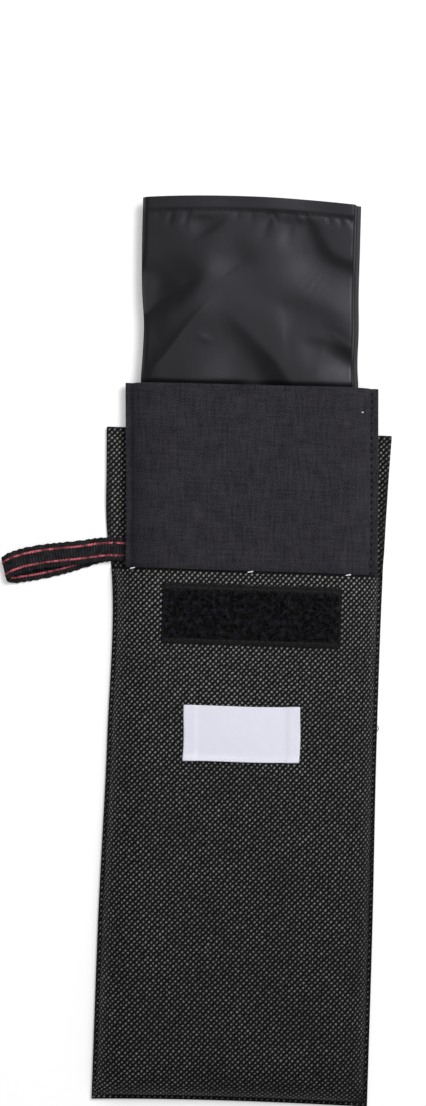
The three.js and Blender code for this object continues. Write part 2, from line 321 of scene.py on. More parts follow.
def cloth_piece(name, places, thickness, finish, weave_rise=0.6, **marks):
    """A closed sheet with a round rim, from the x, y and z of a grid of points half way through its
    thickness. Its UV map, cut, holds its flat places. Returns the piece and the size of its flat cut."""
    rim_bulge = 0.8
    middle = np.stack(np.broadcast_arrays(*places), axis=-1)
    rows, columns = middle.shape[:2]
    half = np.broadcast_to(np.asarray(thickness, float) / 2, (rows, columns))[..., None]
    ring = grid_ring(rows, columns)
    inward = tuple(np.clip(line, 1, size - 2) for line, size in zip(ring, (rows, columns)))
    outward = middle[ring] - middle[inward]
    outward /= np.linalg.norm(outward, axis=1, keepdims=True)
    rim = middle[ring] + outward * half[ring] * rim_bulge
    lift = grid_normals(middle) * half
    points = np.concatenate([(middle + lift).reshape(-1, 3), (middle - lift).reshape(-1, 3), rim])

    outer = grid_quads(rows, columns)
    inner = outer[:, ::-1] + rows * columns
    over = ring[0] * columns + ring[1]
    under = over + rows * columns
    side = np.arange(len(rim)) + 2 * rows * columns
    next_over, next_under, next_side = (np.roll(line, -1) for line in (over, under, side))
    lower_rim = np.stack([under, next_under, next_side, side], axis=1)
    upper_rim = np.stack([side, next_side, next_over, over], axis=1)
    faces = np.concatenate([outer, inner, lower_rim, upper_rim])
    mesh = bpy.data.meshes.new(name)
    mesh.from_pydata(points.tolist(), [], faces.tolist())

    flat = flat_places(middle, weave_rise)
    flat = np.concatenate([flat.reshape(-1, 2)] * 2 + [flat[ring]])
    layer = mesh.uv_layers.new(name="cut")
    layer.uv.foreach_set("vector", flat[faces.reshape(-1)].astype(np.float32).ravel())
    for mark, values in marks.items():
        values = np.broadcast_to(values, (rows, columns))
        values = np.concatenate([values.reshape(-1)] * 2 + [values[ring]])
        mesh.attributes.new(mark, "FLOAT", "POINT").data.foreach_set("value", values.astype(np.float32))
    mesh.shade_smooth()
    mesh.materials.append(finish)
    return placed(name, mesh), (run_length(middle[rows // 2]), run_length(middle[:, columns // 2]))


def counted_threads(tree, pitch_across, pitch_along):
    """Where a point is on the cut, counted in threads across and along."""
    cut = add_node(tree, "ShaderNodeUVMap", {}, uv_map="cut")["UV"]
    place = add_node(tree, "ShaderNodeSeparateXYZ", {0: cut})
    across = math_node(tree, "DIVIDE", place["X"], pitch_across)
    return across, math_node(tree, "DIVIDE", place["Y"], pitch_along), cut


def wave(tree, count, turn=math.pi, kind="SINE"):
    """A wave over a count of threads, which turns by so much on each of them."""
    return math_node(tree, kind, math_node(tree, "MULTIPLY", count, turn))


def mark_on(tree, name):
    """A value from 0 up that the piece's own mesh carries at each point."""
    return add_node(tree, "ShaderNodeAttribute", {}, attribute_name=name)["Fac"]


def oxford_finish():
    """Coarse plain weave with a coating: its raised crossings show as leaning oval dots, painted in its
    colour as highlights.
    """
    thread_across, thread_along = 1.2 * mm, 1.235 * mm
    dot_long, dot_short = 0.29, 0.25
    looseness, wander_scale = 0.9, 520.0
    row_shade, row_level = -0.025, 0.03
    patch_scale, grain_scale, grain_share = 38.0, 2600.0, 0.25
    pressed_loss = -0.85
    dull, shiny = 0.72, 0.42
    weave_depth = 0.16 * mm
    black, painted_highlight_grey = paint(4, 4, 5), paint(146, 146, 144)
    material, tree, shader = finish_of("oxford_cloth", roughness=0.65, gloss=0.08)
    across, along, cut = counted_threads(tree, thread_across, thread_along)
    wander = add_node(tree, "ShaderNodeTexNoise", {"Vector": cut, "Scale": wander_scale})
    ways = add_node(tree, "ShaderNodeSeparateColor", {"Color": wander["Color"]})
    across = math_node(tree, "MULTIPLY_ADD", ways["Red"], looseness, across)
    along = math_node(tree, "MULTIPLY_ADD", ways["Green"], looseness, along)
    lean = math_node(tree, "MULTIPLY", math_node(tree, "ADD", across, along), 0.5)
    counter = math_node(tree, "MULTIPLY", math_node(tree, "SUBTRACT", across, along), 0.5)
    along_dot = math_node(tree, "SUBTRACT", math_node(tree, "FRACT", lean), 0.5)
    along_dot = math_node(tree, "DIVIDE", along_dot, dot_long)
    across_dot = math_node(tree, "SUBTRACT", math_node(tree, "FRACT", counter), 0.5)
    across_dot = math_node(tree, "DIVIDE", across_dot, dot_short)
    square = math_node(tree, "MULTIPLY", along_dot, along_dot)
    reach = math_node(tree, "SQRT", math_node(tree, "MULTIPLY_ADD", across_dot, across_dot, square))
    dot = ramp(tree, reach, 0.25, 1.25, 1.0, 0.0)
    rows = wave(tree, counter, 2 * math.pi, "COSINE")
    thread_row = math_node(tree, "MULTIPLY_ADD", rows, row_shade, row_level)

    lean_row, counter_row = math_node(tree, "FLOOR", lean), math_node(tree, "FLOOR", counter)
    crossing = add_node(tree, "ShaderNodeCombineXYZ", {"X": lean_row, "Y": counter_row})[0]
    chance = add_node(tree, "ShaderNodeTexWhiteNoise", {"Vector": crossing})["Value"]
    patches = ramp(tree, mottle(tree, cut, patch_scale, 3.0), 0.3, 0.7, 0.72, 1.0)
    painted_glint = math_node(tree, "MULTIPLY", ramp(tree, chance, 0, 1, 0.6, 1.0), patches)
    # The mark read below paints light and shade: it makes the painted highlights of the dots brighter or
    # fainter across each piece.
    shown = math_node(tree, "MULTIPLY_ADD", mark_on(tree, "pressed"), pressed_loss, 1.0)
    painted_glint = math_node(tree, "MULTIPLY", math_node(tree, "MULTIPLY", painted_glint, shown), dot)
    painted_glint = math_node(tree, "MULTIPLY", math_node(tree, "ADD", painted_glint, thread_row), mark_on(tree, "worn"))
    tint(tree, shader, painted_glint, black, painted_highlight_grey)
    tree.links.new(ramp(tree, dot, 0, 1, dull, shiny), shader.inputs["Roughness"])
    grain = mottle(tree, cut, grain_scale)
    relief = math_node(tree, "MULTIPLY_ADD", grain, grain_share, dot)
    raise_surface(tree, shader, relief, weave_depth, 0.6)
    return material


oxford_cloth = oxford_finish()
back_rows = case_bottom + close_at_ends(flap_end - case_bottom, back_step)
back_left, back_right = case_edges(back_rows)
back_x, back_y = grid_between(back_left, back_right, back_rows, back_step)
from_side = np.minimum(back_x - back_left[:, None], back_right[:, None] - back_x)
from_end = np.minimum(from_side, flap_end - back_y)
on_flap = ease(back_y, *turned_start)
turned = on_flap * (1 - ease(from_end, turned_edge, turned_edge + 0.4 * mm))
stitch_dip = on_flap * bell(from_end - flap_stitch_inset, flap_dip_width)
back_thickness = oxford_thickness * (1 + turned_gain * turned - stitch_sink * stitch_dip)
curl = edge_curl * ease(back_y, *curl_start) * (1 - ease(from_side, 0, curl_width)) ** 2
back_z = back_thickness / 2 + curl
rubbed = edge_wear * ease(back_y, *wear_start)
back_pressed = (1 - ease(from_end, *plain_edge)) * (1 - rubbed)
# The flap's dots are painted brighter, as painted light.
back_and_flap, back_cut = cloth_piece(
    "back_and_flap", (back_x, dropped(back_x, back_y), back_z), back_thickness, oxford_cloth,
    pressed=back_pressed, worn=1 + flap_painted_light * on_flap,
)
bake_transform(back_and_flap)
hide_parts("outer_back_panel", "closure_flap")


# Front of the case. A second piece of the same cloth, sewn to the back along its sides and its
# bottom. It swells over the pouch that slides inside, and its top edge is turned in as a hem.

front_shoulder = 18 * mm
front_hem = 9 * mm
hem_fold = 0.36 * mm
front_step = 1.3 * mm
front_seam = front_low.z + oxford_thickness / 2
front_crown = front_high.z - oxford_thickness / 2
mouth_lift, lift_heights = 0.75 * mm, (case_mouth - 50 * mm, case_mouth - 9 * mm)
ripple_height = 0.32 * mm
stitch_inset, dip_width = 1.5 * mm, 0.4 * mm
# The dots are painted brighter towards the mouth and low on the left edge, and darker at the right edge, as
# painted light and shade. They are gone at the seams, and a painted shadow line runs along the fold of the
# mouth.
painted_light_heights = np.array([-113.0, -20.0, 60.0, 113.0]) * mm
front_painted_light = np.array([0.76, 0.9, 1.14, 1.5])
left_painted_light, left_painted_light_reach, left_painted_light_loss, left_painted_light_end = 0.55, 8 * mm, 0.6, (30 * mm, 80 * mm)
right_painted_shade, right_painted_shade_reach = 0.45, 6.5 * mm
plain_seam, mouth_painted_shadow = (0.2 * mm, 0.8 * mm), (0.2 * mm, 1.1 * mm)


def rise(distance, shoulder):
    """0 at a bag's seam and 1 where its front is level, on a quarter of an ellipse between."""
    return np.sqrt(np.maximum(0, 1 - (1 - np.clip(distance / shoulder, 0, 1)) ** 2))


def wandering(along, length, across, bend_length, bend, start=0.0):
    """A wave along one way, whose crests bend to and fro along the other."""
    return np.sin(along / length + bend * np.sin(across / bend_length) + start)


def front_height(x, y):
    """Height of the middle of the front's cloth, which lies in long shallow ripples."""
    left, right = case_edges(y)
    to_side = np.minimum(x - left, right - x) - seam_lip
    to_bottom = y - case_bottom - seam_lip
    swell = rise(to_side, front_shoulder) * rise(to_bottom, front_shoulder)
    long_ripple = wandering(y, 17 * mm, x, 31 * mm, 2.2)
    cross_ripple = wandering(x, 13 * mm, y, 37 * mm, 1.4, 0.8)
    ripple = ripple_height * (2 + long_ripple + 0.8 * cross_ripple) * swell**3 / 2
    lift = mouth_lift * ease(y, *lift_heights) * swell
    return front_seam + (front_crown - front_seam) * swell + ripple + lift


def hemmed_rows(bottom, mouth, step, hem, fold):
    """How far up each row of a bag's wall lies, and how far inside its outer face: up the wall,
    round the fold at the mouth and down again along the turned-in hem."""
    wall = bottom + close_at_ends(mouth - fold - bottom, step)
    turn = np.linspace(0, math.pi, 8)[1:]
    inside = np.linspace(mouth - fold, mouth - hem, max(3, round(hem / step)))[1:]
    y = np.concatenate([wall, mouth - fold + fold * np.sin(turn), inside])
    inset = np.concatenate([0 * wall, fold * (1 - np.cos(turn)), 2 * fold + 0 * inside])
    return y, inset


front_rows, front_inset = hemmed_rows(case_bottom, case_mouth, front_step, front_hem, hem_fold)
front_left, front_right = case_edges(front_rows)
front_x, front_y = grid_between(front_left, front_right, front_rows, front_step)
from_left, from_right = front_x - front_left[:, None], front_right[:, None] - front_x
from_seam = np.minimum(np.minimum(from_left, from_right), front_y - case_bottom)
front_thickness = oxford_thickness * (1 - stitch_sink * bell(from_seam - stitch_inset, dip_width))
front_z = front_height(front_x, front_y) - front_inset[:, None]
# Painted light and shade on the front: lighter low on the left edge, darker at the right edge, brighter
# towards the mouth, and a painted shadow line along the fold of the mouth.
left_painted_light_kept = 1 - left_painted_light_loss * ease(front_y, *left_painted_light_end)
left_painted_light_share = left_painted_light * np.exp(-from_left / left_painted_light_reach) * left_painted_light_kept
right_painted_shade_share = right_painted_shade * np.exp(-from_right / right_painted_shade_reach)
front_worn = curve_through(painted_light_heights, front_painted_light, front_y) * ease(case_mouth - front_y, *mouth_painted_shadow)
front, front_cut = cloth_piece(
    "front_of_case", (front_x, dropped(front_x, front_y), front_z), front_thickness, oxford_cloth,
    pressed=1 - ease(from_seam, *plain_seam), worn=front_worn * (1 + left_painted_light_share - right_painted_shade_share),
)
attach(front, "outer_case")
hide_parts("outer_front_panel")


# Seams of the case. Black lockstitch runs along both sides and the bottom, close to the edge,
# and along the flap's turned edges. Each stitch is a short plump thread sunk in the cloth.

stitch_length, stitch_pitch = 2.1 * mm, 2.7 * mm
thread_width, thread_height = 0.5 * mm, 0.36 * mm
lip_top = front_low.z + 0.57 * oxford_thickness
seam_end_gap = 1 * mm


def growth_tree(name, output, *inputs):
    """A new node tree with one output and named inputs, each with its kind and its value. Returns the
    tree, the inputs to start from and the socket to end in."""
    tree = bpy.data.node_groups.new(name, "GeometryNodeTree")
    for label, kind, value in (*inputs, ("Material", "Material", None)):
        socket = tree.interface.new_socket(label, in_out="INPUT", socket_type="NodeSocket" + kind)
        if value is not None:
            socket.default_value = value
    tree.interface.new_socket(output, in_out="OUTPUT", socket_type="NodeSocketGeometry")
    return tree, add_node(tree, "NodeGroupInput", {}), tree.nodes.new("NodeGroupOutput").inputs[0]


def set_out(tree, material, end, copies, smooth=True):
    """Ends a tree with a copy of a shape on each point, as real faces with a material."""
    faces = add_node(tree, "GeometryNodeInstanceOnPoints", copies)["Instances"]
    faces = add_node(tree, "GeometryNodeRealizeInstances", {"Geometry": faces})["Geometry"]
    if smooth:
        faces = add_node(tree, "GeometryNodeSetShadeSmooth", {"Geometry": faces})["Geometry"]
    coloured = add_node(tree, "GeometryNodeSetMaterial", {"Geometry": faces, "Material": material})
    tree.links.new(coloured["Geometry"], end)


def stitch_tree():
    """Lays stitches end to end along the lines of a mesh, flat on what their up attribute says."""
    tree, start, end = growth_tree(
        "stitch_row", "Stitches",
        ("Seam line", "Geometry", None), ("Pitch", "Float", stitch_pitch),
        ("Stitch length", "Float", stitch_length), ("Thread width", "Float", thread_width),
        ("Thread height", "Float", thread_height), ("Slant", "Float", 0.0),
        ("Unevenness", "Float", 0.07), ("Seed", "Int", 3),
    )
    line = add_node(tree, "GeometryNodeMeshToCurve", {"Mesh": start["Seam line"]})["Curve"]
    places = add_node(
        tree, "GeometryNodeResampleCurve", {"Curve": line, "Length": start["Pitch"]}, mode="LENGTH"
    )
    up = add_node(tree, "GeometryNodeInputNamedAttribute", {"Name": "up"}, data_type="FLOAT_VECTOR")
    along = add_node(tree, "GeometryNodeInputTangent", {})["Tangent"]
    align = "FunctionNodeAlignRotationToVector"
    upright = add_node(tree, align, {"Vector": up["Attribute"]}, axis="Z")["Rotation"]
    facing = add_node(tree, align, {"Rotation": upright, "Vector": along}, axis="X", pivot_axis="Z")
    limits = {2: math_node(tree, "MULTIPLY", start["Unevenness"], -1.0), 3: start["Unevenness"]}
    chance = add_node(tree, "FunctionNodeRandomValue", {**limits, "Seed": start["Seed"]}, data_type="FLOAT")
    angle = math_node(tree, "ADD", chance[1], start["Slant"])
    turn = add_node(tree, "FunctionNodeAxisAngleToRotation", {"Axis": (0, 0, 1), "Angle": angle})
    lie = add_node(
        tree, "FunctionNodeRotateRotation",
        {"Rotation": facing["Rotation"], "Rotate By": turn["Rotation"]}, rotation_space="LOCAL",
    )
    bead = add_node(tree, "GeometryNodeMeshUVSphere", {"Segments": 8, "Rings": 6, "Radius": 0.5})
    sizes = {"X": start["Stitch length"], "Y": start["Thread width"], "Z": start["Thread height"]}
    set_out(tree, start["Material"], end, {
        "Points": places["Curve"], "Instance": bead["Mesh"], "Rotation": lie["Rotation"],
        "Scale": add_node(tree, "ShaderNodeCombineXYZ", sizes)[0],
    })
    return tree


def grown_piece(name, source, tree, **values):
    """The plain mesh that a node tree grows on a source object, which is then thrown away."""
    modifier = source.modifiers.new("growth", "NODES")
    modifier.node_group = tree
    for item in tree.interface.items_tree:
        key = item.name.lower().replace(" ", "_")
        if item.in_out == "INPUT" and key in values:
            modifier[item.identifier] = values[key]
    source.update_tag()
    bpy.context.view_layer.update()
    whole = source.evaluated_get(bpy.context.evaluated_depsgraph_get())
    mesh = bpy.data.meshes.new_from_object(whole)
    mesh.name = name
    bpy.data.objects.remove(source)
    return placed(name, mesh)


def line_object(lines, ups=None):
    """A mesh of edges only, one run of points for each line, with the way up at each point."""
    points, edges, normals = [], [], []
    for number, line in enumerate(lines):
        first = len(points)
        points += [tuple(p) for p in line]
        edges += [(first + i, first + i + 1) for i in range(len(line) - 1)]
        normals += [(0, 0, 1)] * len(line) if ups is None else [tuple(n) for n in ups[number]]
    mesh = bpy.data.meshes.new("seam_line")
    mesh.from_pydata(points, edges, [])
    mesh.attributes.new("up", "FLOAT_VECTOR", "POINT").data.foreach_set("vector", np.array(normals).ravel())
    return placed("seam_line", mesh)


def thread_finish(name, colour, highlight_colour, gloss):
    """Twisted sewing thread: fine slanting strands, painted lighter along each strand as a highlight."""
    material, tree, shader = finish_of(name, roughness=0.55, gloss=gloss, sheen=0.15)
    twist = {"Vector": on_object(tree), "Scale": 1400, "Distortion": 1.5}
    strands = add_node(tree, "ShaderNodeTexWave", twist, bands_direction="DIAGONAL")["Fac"]
    tint(tree, shader, strands, colour, highlight_colour)
    raise_surface(tree, shader, strands, 0.05 * mm, 0.6)
    return material


stitch_rows = stitch_tree()
black_thread = thread_finish("black_thread", paint(11, 11, 13), paint(30, 30, 33), 0.2)


def sewn_row(name, lines, body, slot, thread, ups=None, **values):
    """Stitches along some lines, as one piece that rides on a body."""
    row = grown_piece(name, line_object(lines, ups), stitch_rows, material=thread, **values)
    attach(row, body)
    return row


def bag_seams(edges, bottom, top, inset, counts, left, right, height, lay=lambda x, y: y):
    """Lines of stitches up a bag's left and right sides and along its bottom. Left and right say how
    far in the line of that side lies and how high, and lay says how far up a place of the bag is."""
    y = np.linspace(bottom + inset, top, counts[0])
    left_edge, right_edge = edges(y)
    bottom_x = np.linspace(left_edge[0] + 2 * inset, right_edge[0] - 2 * inset, counts[1])
    return [
        [(x + left[0], lay(x, up), left[1]) for x, up in zip(left_edge, y)],
        [(x - right[0], lay(x, up), right[1]) for x, up in zip(right_edge, y)],
        [(x, lay(x, bottom + inset), height) for x in bottom_x],
    ]


case_side = (stitch_inset, lip_top)
case_seams = bag_seams(
    case_edges, case_bottom, case_mouth - seam_end_gap, stitch_inset, (120, 60),
    case_side, case_side, lip_top, dropped,
)
case_stitches = sewn_row("case_seam_stitches", case_seams, "outer_case", "black_thread", black_thread)
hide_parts("case_left_seam_thread", "case_right_seam_thread", "case_bottom_seam_thread")

flap_top_of_hem = 1.5 * oxford_thickness
curl_at_stitches = 0.35
flap_y = np.linspace(curl_start[0], flap_end - flap_stitch_inset, 60)
flap_left, flap_right = case_edges(flap_y)
flap_lift = edge_curl * ease(flap_y, *curl_start) * curl_at_stitches
flap_side = [
    [(x + side * flap_stitch_inset, y, flap_top_of_hem + z) for x, y, z in zip(edge, flap_y, flap_lift)]
    for edge, side in ((flap_left, 1), (flap_right, -1))
]
flap_end_x = np.linspace(flap_left[-1] + 2 * flap_stitch_inset, flap_right[-1] - 2 * flap_stitch_inset, 60)
flap_end_line = [(x, flap_end - flap_stitch_inset, flap_top_of_hem) for x in flap_end_x]
sewn_row("flap_edge_stitches", [*flap_side, flap_end_line], "flap", "black_thread", black_thread)


# Loop tape on the front. A black woven strip of fastening tape with a field of soft nylon loops
# between two flat selvedges. It is sewn down all round, and the hooks on the flap grip it.

tape_low, tape_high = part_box("front_loop_tape")
tape_step = 1.2 * mm
tape_base = 0.75 * mm
selvedge, selvedge_share = 2.3 * mm, 0.62
tape_seat = 0.06 * mm
field_margin, field_rise = 0.5 * mm, 0.15 * mm
loop_count_per_m2, loop_radius, loop_filament = 2.9e6, 0.5 * mm, 0.08 * mm
tape_stitch_inset, tape_stitch_rise = 1.5 * mm, 0.06 * mm


def front_outside(x, y):
    """Height of the front's outer face."""
    return front_height(x, y) + oxford_thickness / 2


def grid_over(low, high, step):
    """A grid of x and y over a box."""
    x = low.x + close_at_ends(high.x - low.x, step)
    y = low.y + close_at_ends(high.y - low.y, step)
    return np.meshgrid(x, y)


def crossings(tree, across, along):
    """Threads over and under each other: 1 on top of a crossing and 0 below one."""
    both = math_node(tree, "MULTIPLY", wave(tree, across), wave(tree, along))
    return math_node(tree, "MULTIPLY_ADD", both, 0.5, 0.5)


def tape_finish():
    """Woven nylon tape: fine ribs across it, a little shiny."""
    material, tree, shader = finish_of("woven_tape", roughness=0.7, gloss=0.12)
    warp_pitch, weft_pitch = 0.5 * mm, 0.42 * mm
    across, along, cut = counted_threads(tree, warp_pitch, weft_pitch)
    weave = crossings(tree, across, along)
    share = math_node(tree, "MULTIPLY", weave, ramp(tree, mottle(tree, cut, 500.0), 0.3, 0.7, 0.4, 1.0))
    dark_nylon, light_nylon = paint(7, 7, 8), paint(36, 36, 39)
    tint(tree, shader, share, dark_nylon, light_nylon)
    raise_surface(tree, shader, weave, 0.09 * mm, 0.7)
    return material


def pile_finish():
    """Fine black nylon filament."""
    material, tree, shader = finish_of("pile_filament", roughness=0.8, gloss=0.02)
    patches = ramp(tree, mottle(tree, on_object(tree), 420.0, 3.0), 0.45, 0.72, 0, 1)
    black, dusty_grey = paint(1, 1, 2), paint(66, 63, 78)
    tint(tree, shader, patches, black, dusty_grey)
    return material


def bent_filament(tree, radius, filament, sides, first_angle, capped):
    """A short length of filament bent round most of a circle, which stands upright."""
    angles = {"Start Angle": math.radians(first_angle), "Sweep Angle": math.radians(250)}
    arch = add_node(tree, "GeometryNodeCurveArc", {"Resolution": 6, "Radius": radius, **angles})["Curve"]
    section = add_node(tree, "GeometryNodeCurvePrimitiveCircle", {"Resolution": sides, "Radius": filament})
    tube = {"Curve": arch, "Profile Curve": section["Curve"], "Fill Caps": capped}
    tube = add_node(tree, "GeometryNodeCurveToMesh", tube)["Mesh"]
    upright = (math.radians(90), 0, 0)
    return add_node(tree, "GeometryNodeTransform", {"Geometry": tube, "Rotation": upright})["Geometry"]


def scattered(tree, face, density, seed):
    """Random points on a face."""
    spread = {"Mesh": face, "Density": density, "Seed": seed}
    return add_node(tree, "GeometryNodeDistributePointsOnFaces", spread)["Points"]


def chance_between(tree, low, high, seed):
    """A random vector for each point."""
    limits = {0: low, 1: high, "Seed": seed}
    return add_node(tree, "FunctionNodeRandomValue", limits, data_type="FLOAT_VECTOR")[0]


def pile_tree():
    """Scatters small standing loops over a face, each turned and sized at random."""
    tree, start, end = growth_tree(
        "loop_pile", "Pile",
        ("Field", "Geometry", None), ("Loops per area", "Float", loop_count_per_m2),
        ("Loop radius", "Float", loop_radius), ("Filament", "Float", loop_filament), ("Seed", "Int", 5),
    )
    least_size, most_size = 0.6, 1.25
    lean, full_turn = 0.7, 2 * math.pi
    limits = {2: least_size, 3: most_size, "Seed": start["Seed"]}
    set_out(tree, start["Material"], end, {
        "Points": scattered(tree, start["Field"], start["Loops per area"], start["Seed"]),
        "Instance": bent_filament(
            tree, start["Loop radius"], start["Filament"], sides=3, first_angle=-35, capped=False
        ),
        "Rotation": chance_between(tree, (-lean, -lean, 0), (lean, lean, full_turn), start["Seed"]),
        "Scale": add_node(tree, "FunctionNodeRandomValue", limits, data_type="FLOAT")[1],
    })
    return tree


def patch_object(x, y, z):
    """An open patch of faces for a node tree to grow on."""
    points = np.stack(np.broadcast_arrays(x, y, z), axis=-1)
    mesh = bpy.data.meshes.new("patch")
    mesh.from_pydata(points.reshape(-1, 3).tolist(), [], grid_quads(*x.shape).tolist())
    return placed("patch", mesh)


def tape_thickness(y, low, high):
    """Thin at the two selvedges and thicker under the field between them."""
    from_edge = np.minimum(y - low.y, high.y - y)
    in_field = ease(from_edge, selvedge - 0.4 * mm, selvedge + 0.2 * mm)
    return tape_base * (selvedge_share + (1 - selvedge_share) * in_field)


def ring_line(low, high, inset, height, step=2.0 * mm):
    """A closed run of points inside a box, at the height that a surface has there."""
    left, right, bottom, top = low.x + inset, high.x - inset, low.y + inset, high.y - inset
    corners = [(left, bottom), (right, bottom), (right, top), (left, top), (left, bottom)]
    line = []
    for (x0, y0), (x1, y1) in zip(corners[:-1], corners[1:]):
        count = round(math.hypot(x1 - x0, y1 - y0) / step)
        for share in np.arange(count) / count:
            line.append((x0 + (x1 - x0) * share, y0 + (y1 - y0) * share))
    line.append(corners[-1])
    return [(x, y, float(height(np.array(x), np.array(y)))) for x, y in line]


woven_tape = tape_finish()
pile_filament = pile_finish()
tape_x, tape_y = grid_over(tape_low, tape_high, tape_step)
tape_thick = tape_thickness(tape_y, tape_low, tape_high)
tape_z = front_outside(tape_x, tape_y) + tape_seat + tape_thick / 2
loop_tape, loop_tape_cut = cloth_piece("loop_tape", (tape_x, tape_y, tape_z), tape_thick, woven_tape)
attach(loop_tape, "outer_case")
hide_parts("front_loop_tape")

field_x, field_y = np.meshgrid(
    np.linspace(tape_low.x + field_margin, tape_high.x - field_margin, 50),
    np.linspace(tape_low.y + selvedge, tape_high.y - selvedge, 16),
)
field_z = front_outside(field_x, field_y) + tape_seat + tape_base + field_rise
loop_pile = grown_piece(
    "loop_pile", patch_object(field_x, field_y, field_z), pile_tree(), material=pile_filament
)
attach(loop_pile, "outer_case")


def tape_stitch_height(x, y):
    return front_outside(x, y) + tape_seat + tape_thickness(y, tape_low, tape_high) + tape_stitch_rise


tape_ring = ring_line(tape_low, tape_high, tape_stitch_inset, tape_stitch_height)
tape_stitches = sewn_row("loop_tape_stitches", [tape_ring], "outer_case", "black_thread", black_thread)
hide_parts("loop_tape_stitching")


# Hook tape on the flap. The mating strip, a black woven tape with rows of small moulded nylon
# hooks, is sewn to the inside of the flap, where the pouch covers it while the flap lies open.

hook_low, hook_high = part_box("flap_hook_tape")
hook_tape_step = 1.6 * mm
hook_pitch = 1.5 * mm
hook_radius, hook_filament = 0.3 * mm, 0.09 * mm
hook_tape_thick = 0.55 * mm
hook_tape_seat = oxford_thickness + tape_seat


def hook_tree():
    """Stands one small bent hook on each point, every second one turned round."""
    tree, start, end = growth_tree(
        "hook_rows", "Hooks",
        ("Places", "Geometry", None), ("Hook radius", "Float", hook_radius),
        ("Filament", "Float", hook_filament),
    )
    number = add_node(tree, "GeometryNodeInputIndex", {})[0]
    turn = math_node(tree, "MULTIPLY", math_node(tree, "MODULO", number, 2.0), math.pi)
    set_out(tree, start["Material"], end, {
        "Points": start["Places"],
        "Instance": bent_filament(
            tree, start["Hook radius"], start["Filament"], sides=4, first_angle=-70, capped=True
        ),
        "Rotation": add_node(tree, "ShaderNodeCombineXYZ", {"Z": turn})[0],
    })
    return tree


hook_x, hook_y = grid_over(hook_low, hook_high, hook_tape_step)
hook_z = hook_tape_seat + hook_tape_thick / 2
hook_tape, hook_tape_cut = cloth_piece("hook_tape", (hook_x, hook_y, hook_z), hook_tape_thick, woven_tape)
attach(hook_tape, "flap")
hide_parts("flap_hook_tape")

places_x, places_y = np.meshgrid(
    np.arange(hook_low.x + selvedge, hook_high.x - selvedge, hook_pitch),
    np.arange(hook_low.y + selvedge, hook_high.y - selvedge, hook_pitch),
)
places_z = hook_tape_seat + hook_tape_thick + 0.6 * hook_radius
hook_field = grown_piece(
    "hook_field", patch_object(places_x, places_y, places_z), hook_tree(), material=pile_filament
)
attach(hook_field, "flap")

hook_ring_z = hook_tape_seat + hook_tape_thick + tape_stitch_rise
hook_ring = ring_line(hook_low, hook_high, tape_stitch_inset, lambda x, y: hook_ring_z)
hook_stitches = sewn_row("hook_tape_stitches", [hook_ring], "flap", "black_thread", black_thread)
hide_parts("hook_tape_stitching")


# Label. A small white satin label, woven with fine ribs, its two ends folded under and its
# edges sewn down with white thread. It is bare. Its lower edge stands a little off the cloth.

label_low, label_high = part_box("sewn_label")
left_trim, right_trim, bottom_trim, top_trim = 0.3 * mm, 0.8 * mm, 0.6 * mm, 0.15 * mm
label_low.x, label_high.x = label_low.x + left_trim, label_high.x - right_trim
label_low.y, label_high.y = label_low.y + bottom_trim, label_high.y - top_trim
label_slant = 0.4 * mm
label_step = 0.9 * mm
label_thickness = 0.34 * mm
label_fold = 5.0 * mm
label_seat = 0.06 * mm
edge_stand, edge_stand_width = 0.75 * mm, 3.0 * mm
pillow_height, pillow_length = 0.22 * mm, 24 * mm
side_waver, end_waver = 0.25 * mm, 0.2 * mm
label_stitch_inset, label_stitch_rise = 1.1 * mm, 0.02 * mm


def satin_finish():
    """White satin with a lavender cast: long floats make fine ribs along it."""
    material, tree, shader = finish_of("label_satin", roughness=0.45, gloss=0.3)
    float_length, satin_pitch = 0.9 * mm, 0.3 * mm
    across, along, cut = counted_threads(tree, float_length, satin_pitch)
    shifted = math_node(tree, "MULTIPLY_ADD", math_node(tree, "FLOOR", along), 0.4, across)
    floats, ribs = wave(tree, shifted, 2 * math.pi), wave(tree, along, 2 * math.pi)
    weave = math_node(tree, "MULTIPLY_ADD", math_node(tree, "ADD", floats, ribs), 0.25, 0.5)
    patches = mottle(tree, cut, 220.0, 3.0)
    share = math_node(tree, "MULTIPLY_ADD", patches, 0.5, math_node(tree, "MULTIPLY", weave, 0.5))
    lavender_white, bright_white = paint(226, 227, 243), paint(241, 242, 252)
    tint(tree, shader, share, lavender_white, bright_white)
    raise_surface(tree, shader, weave, 0.05 * mm, 0.6)
    return material


def label_lift(x, y):
    """How far the label stands off the front: a little in its middle, and more along its lower edge."""
    along = (x - label_low.x) / (label_high.x - label_low.x)
    from_bottom = y - label_low.y
    uneven = 0.7 + 0.3 * np.sin(5 * along + 1)
    lower_edge = edge_stand * (1 - ease(from_bottom, 0, edge_stand_width)) * uneven
    swell_along, swell_up = (
        np.sin(np.pi * np.clip(share, 0, 1)) for share in (along, from_bottom / pillow_length)
    )
    return label_seat + lower_edge + pillow_height * swell_along * swell_up


def label_slide(x):
    """How far up the label lies, because it was sewn on a little askew."""
    return label_slant * (2 * (x - label_low.x) / (label_high.x - label_low.x) - 1)


def label_doubling(x):
    """1 on the middle of the label and 2 where its ends are folded under."""
    from_end = np.minimum(x - label_low.x, label_high.x - x)
    return 2 - ease(from_end, label_fold - 0.4 * mm, label_fold + 0.4 * mm)


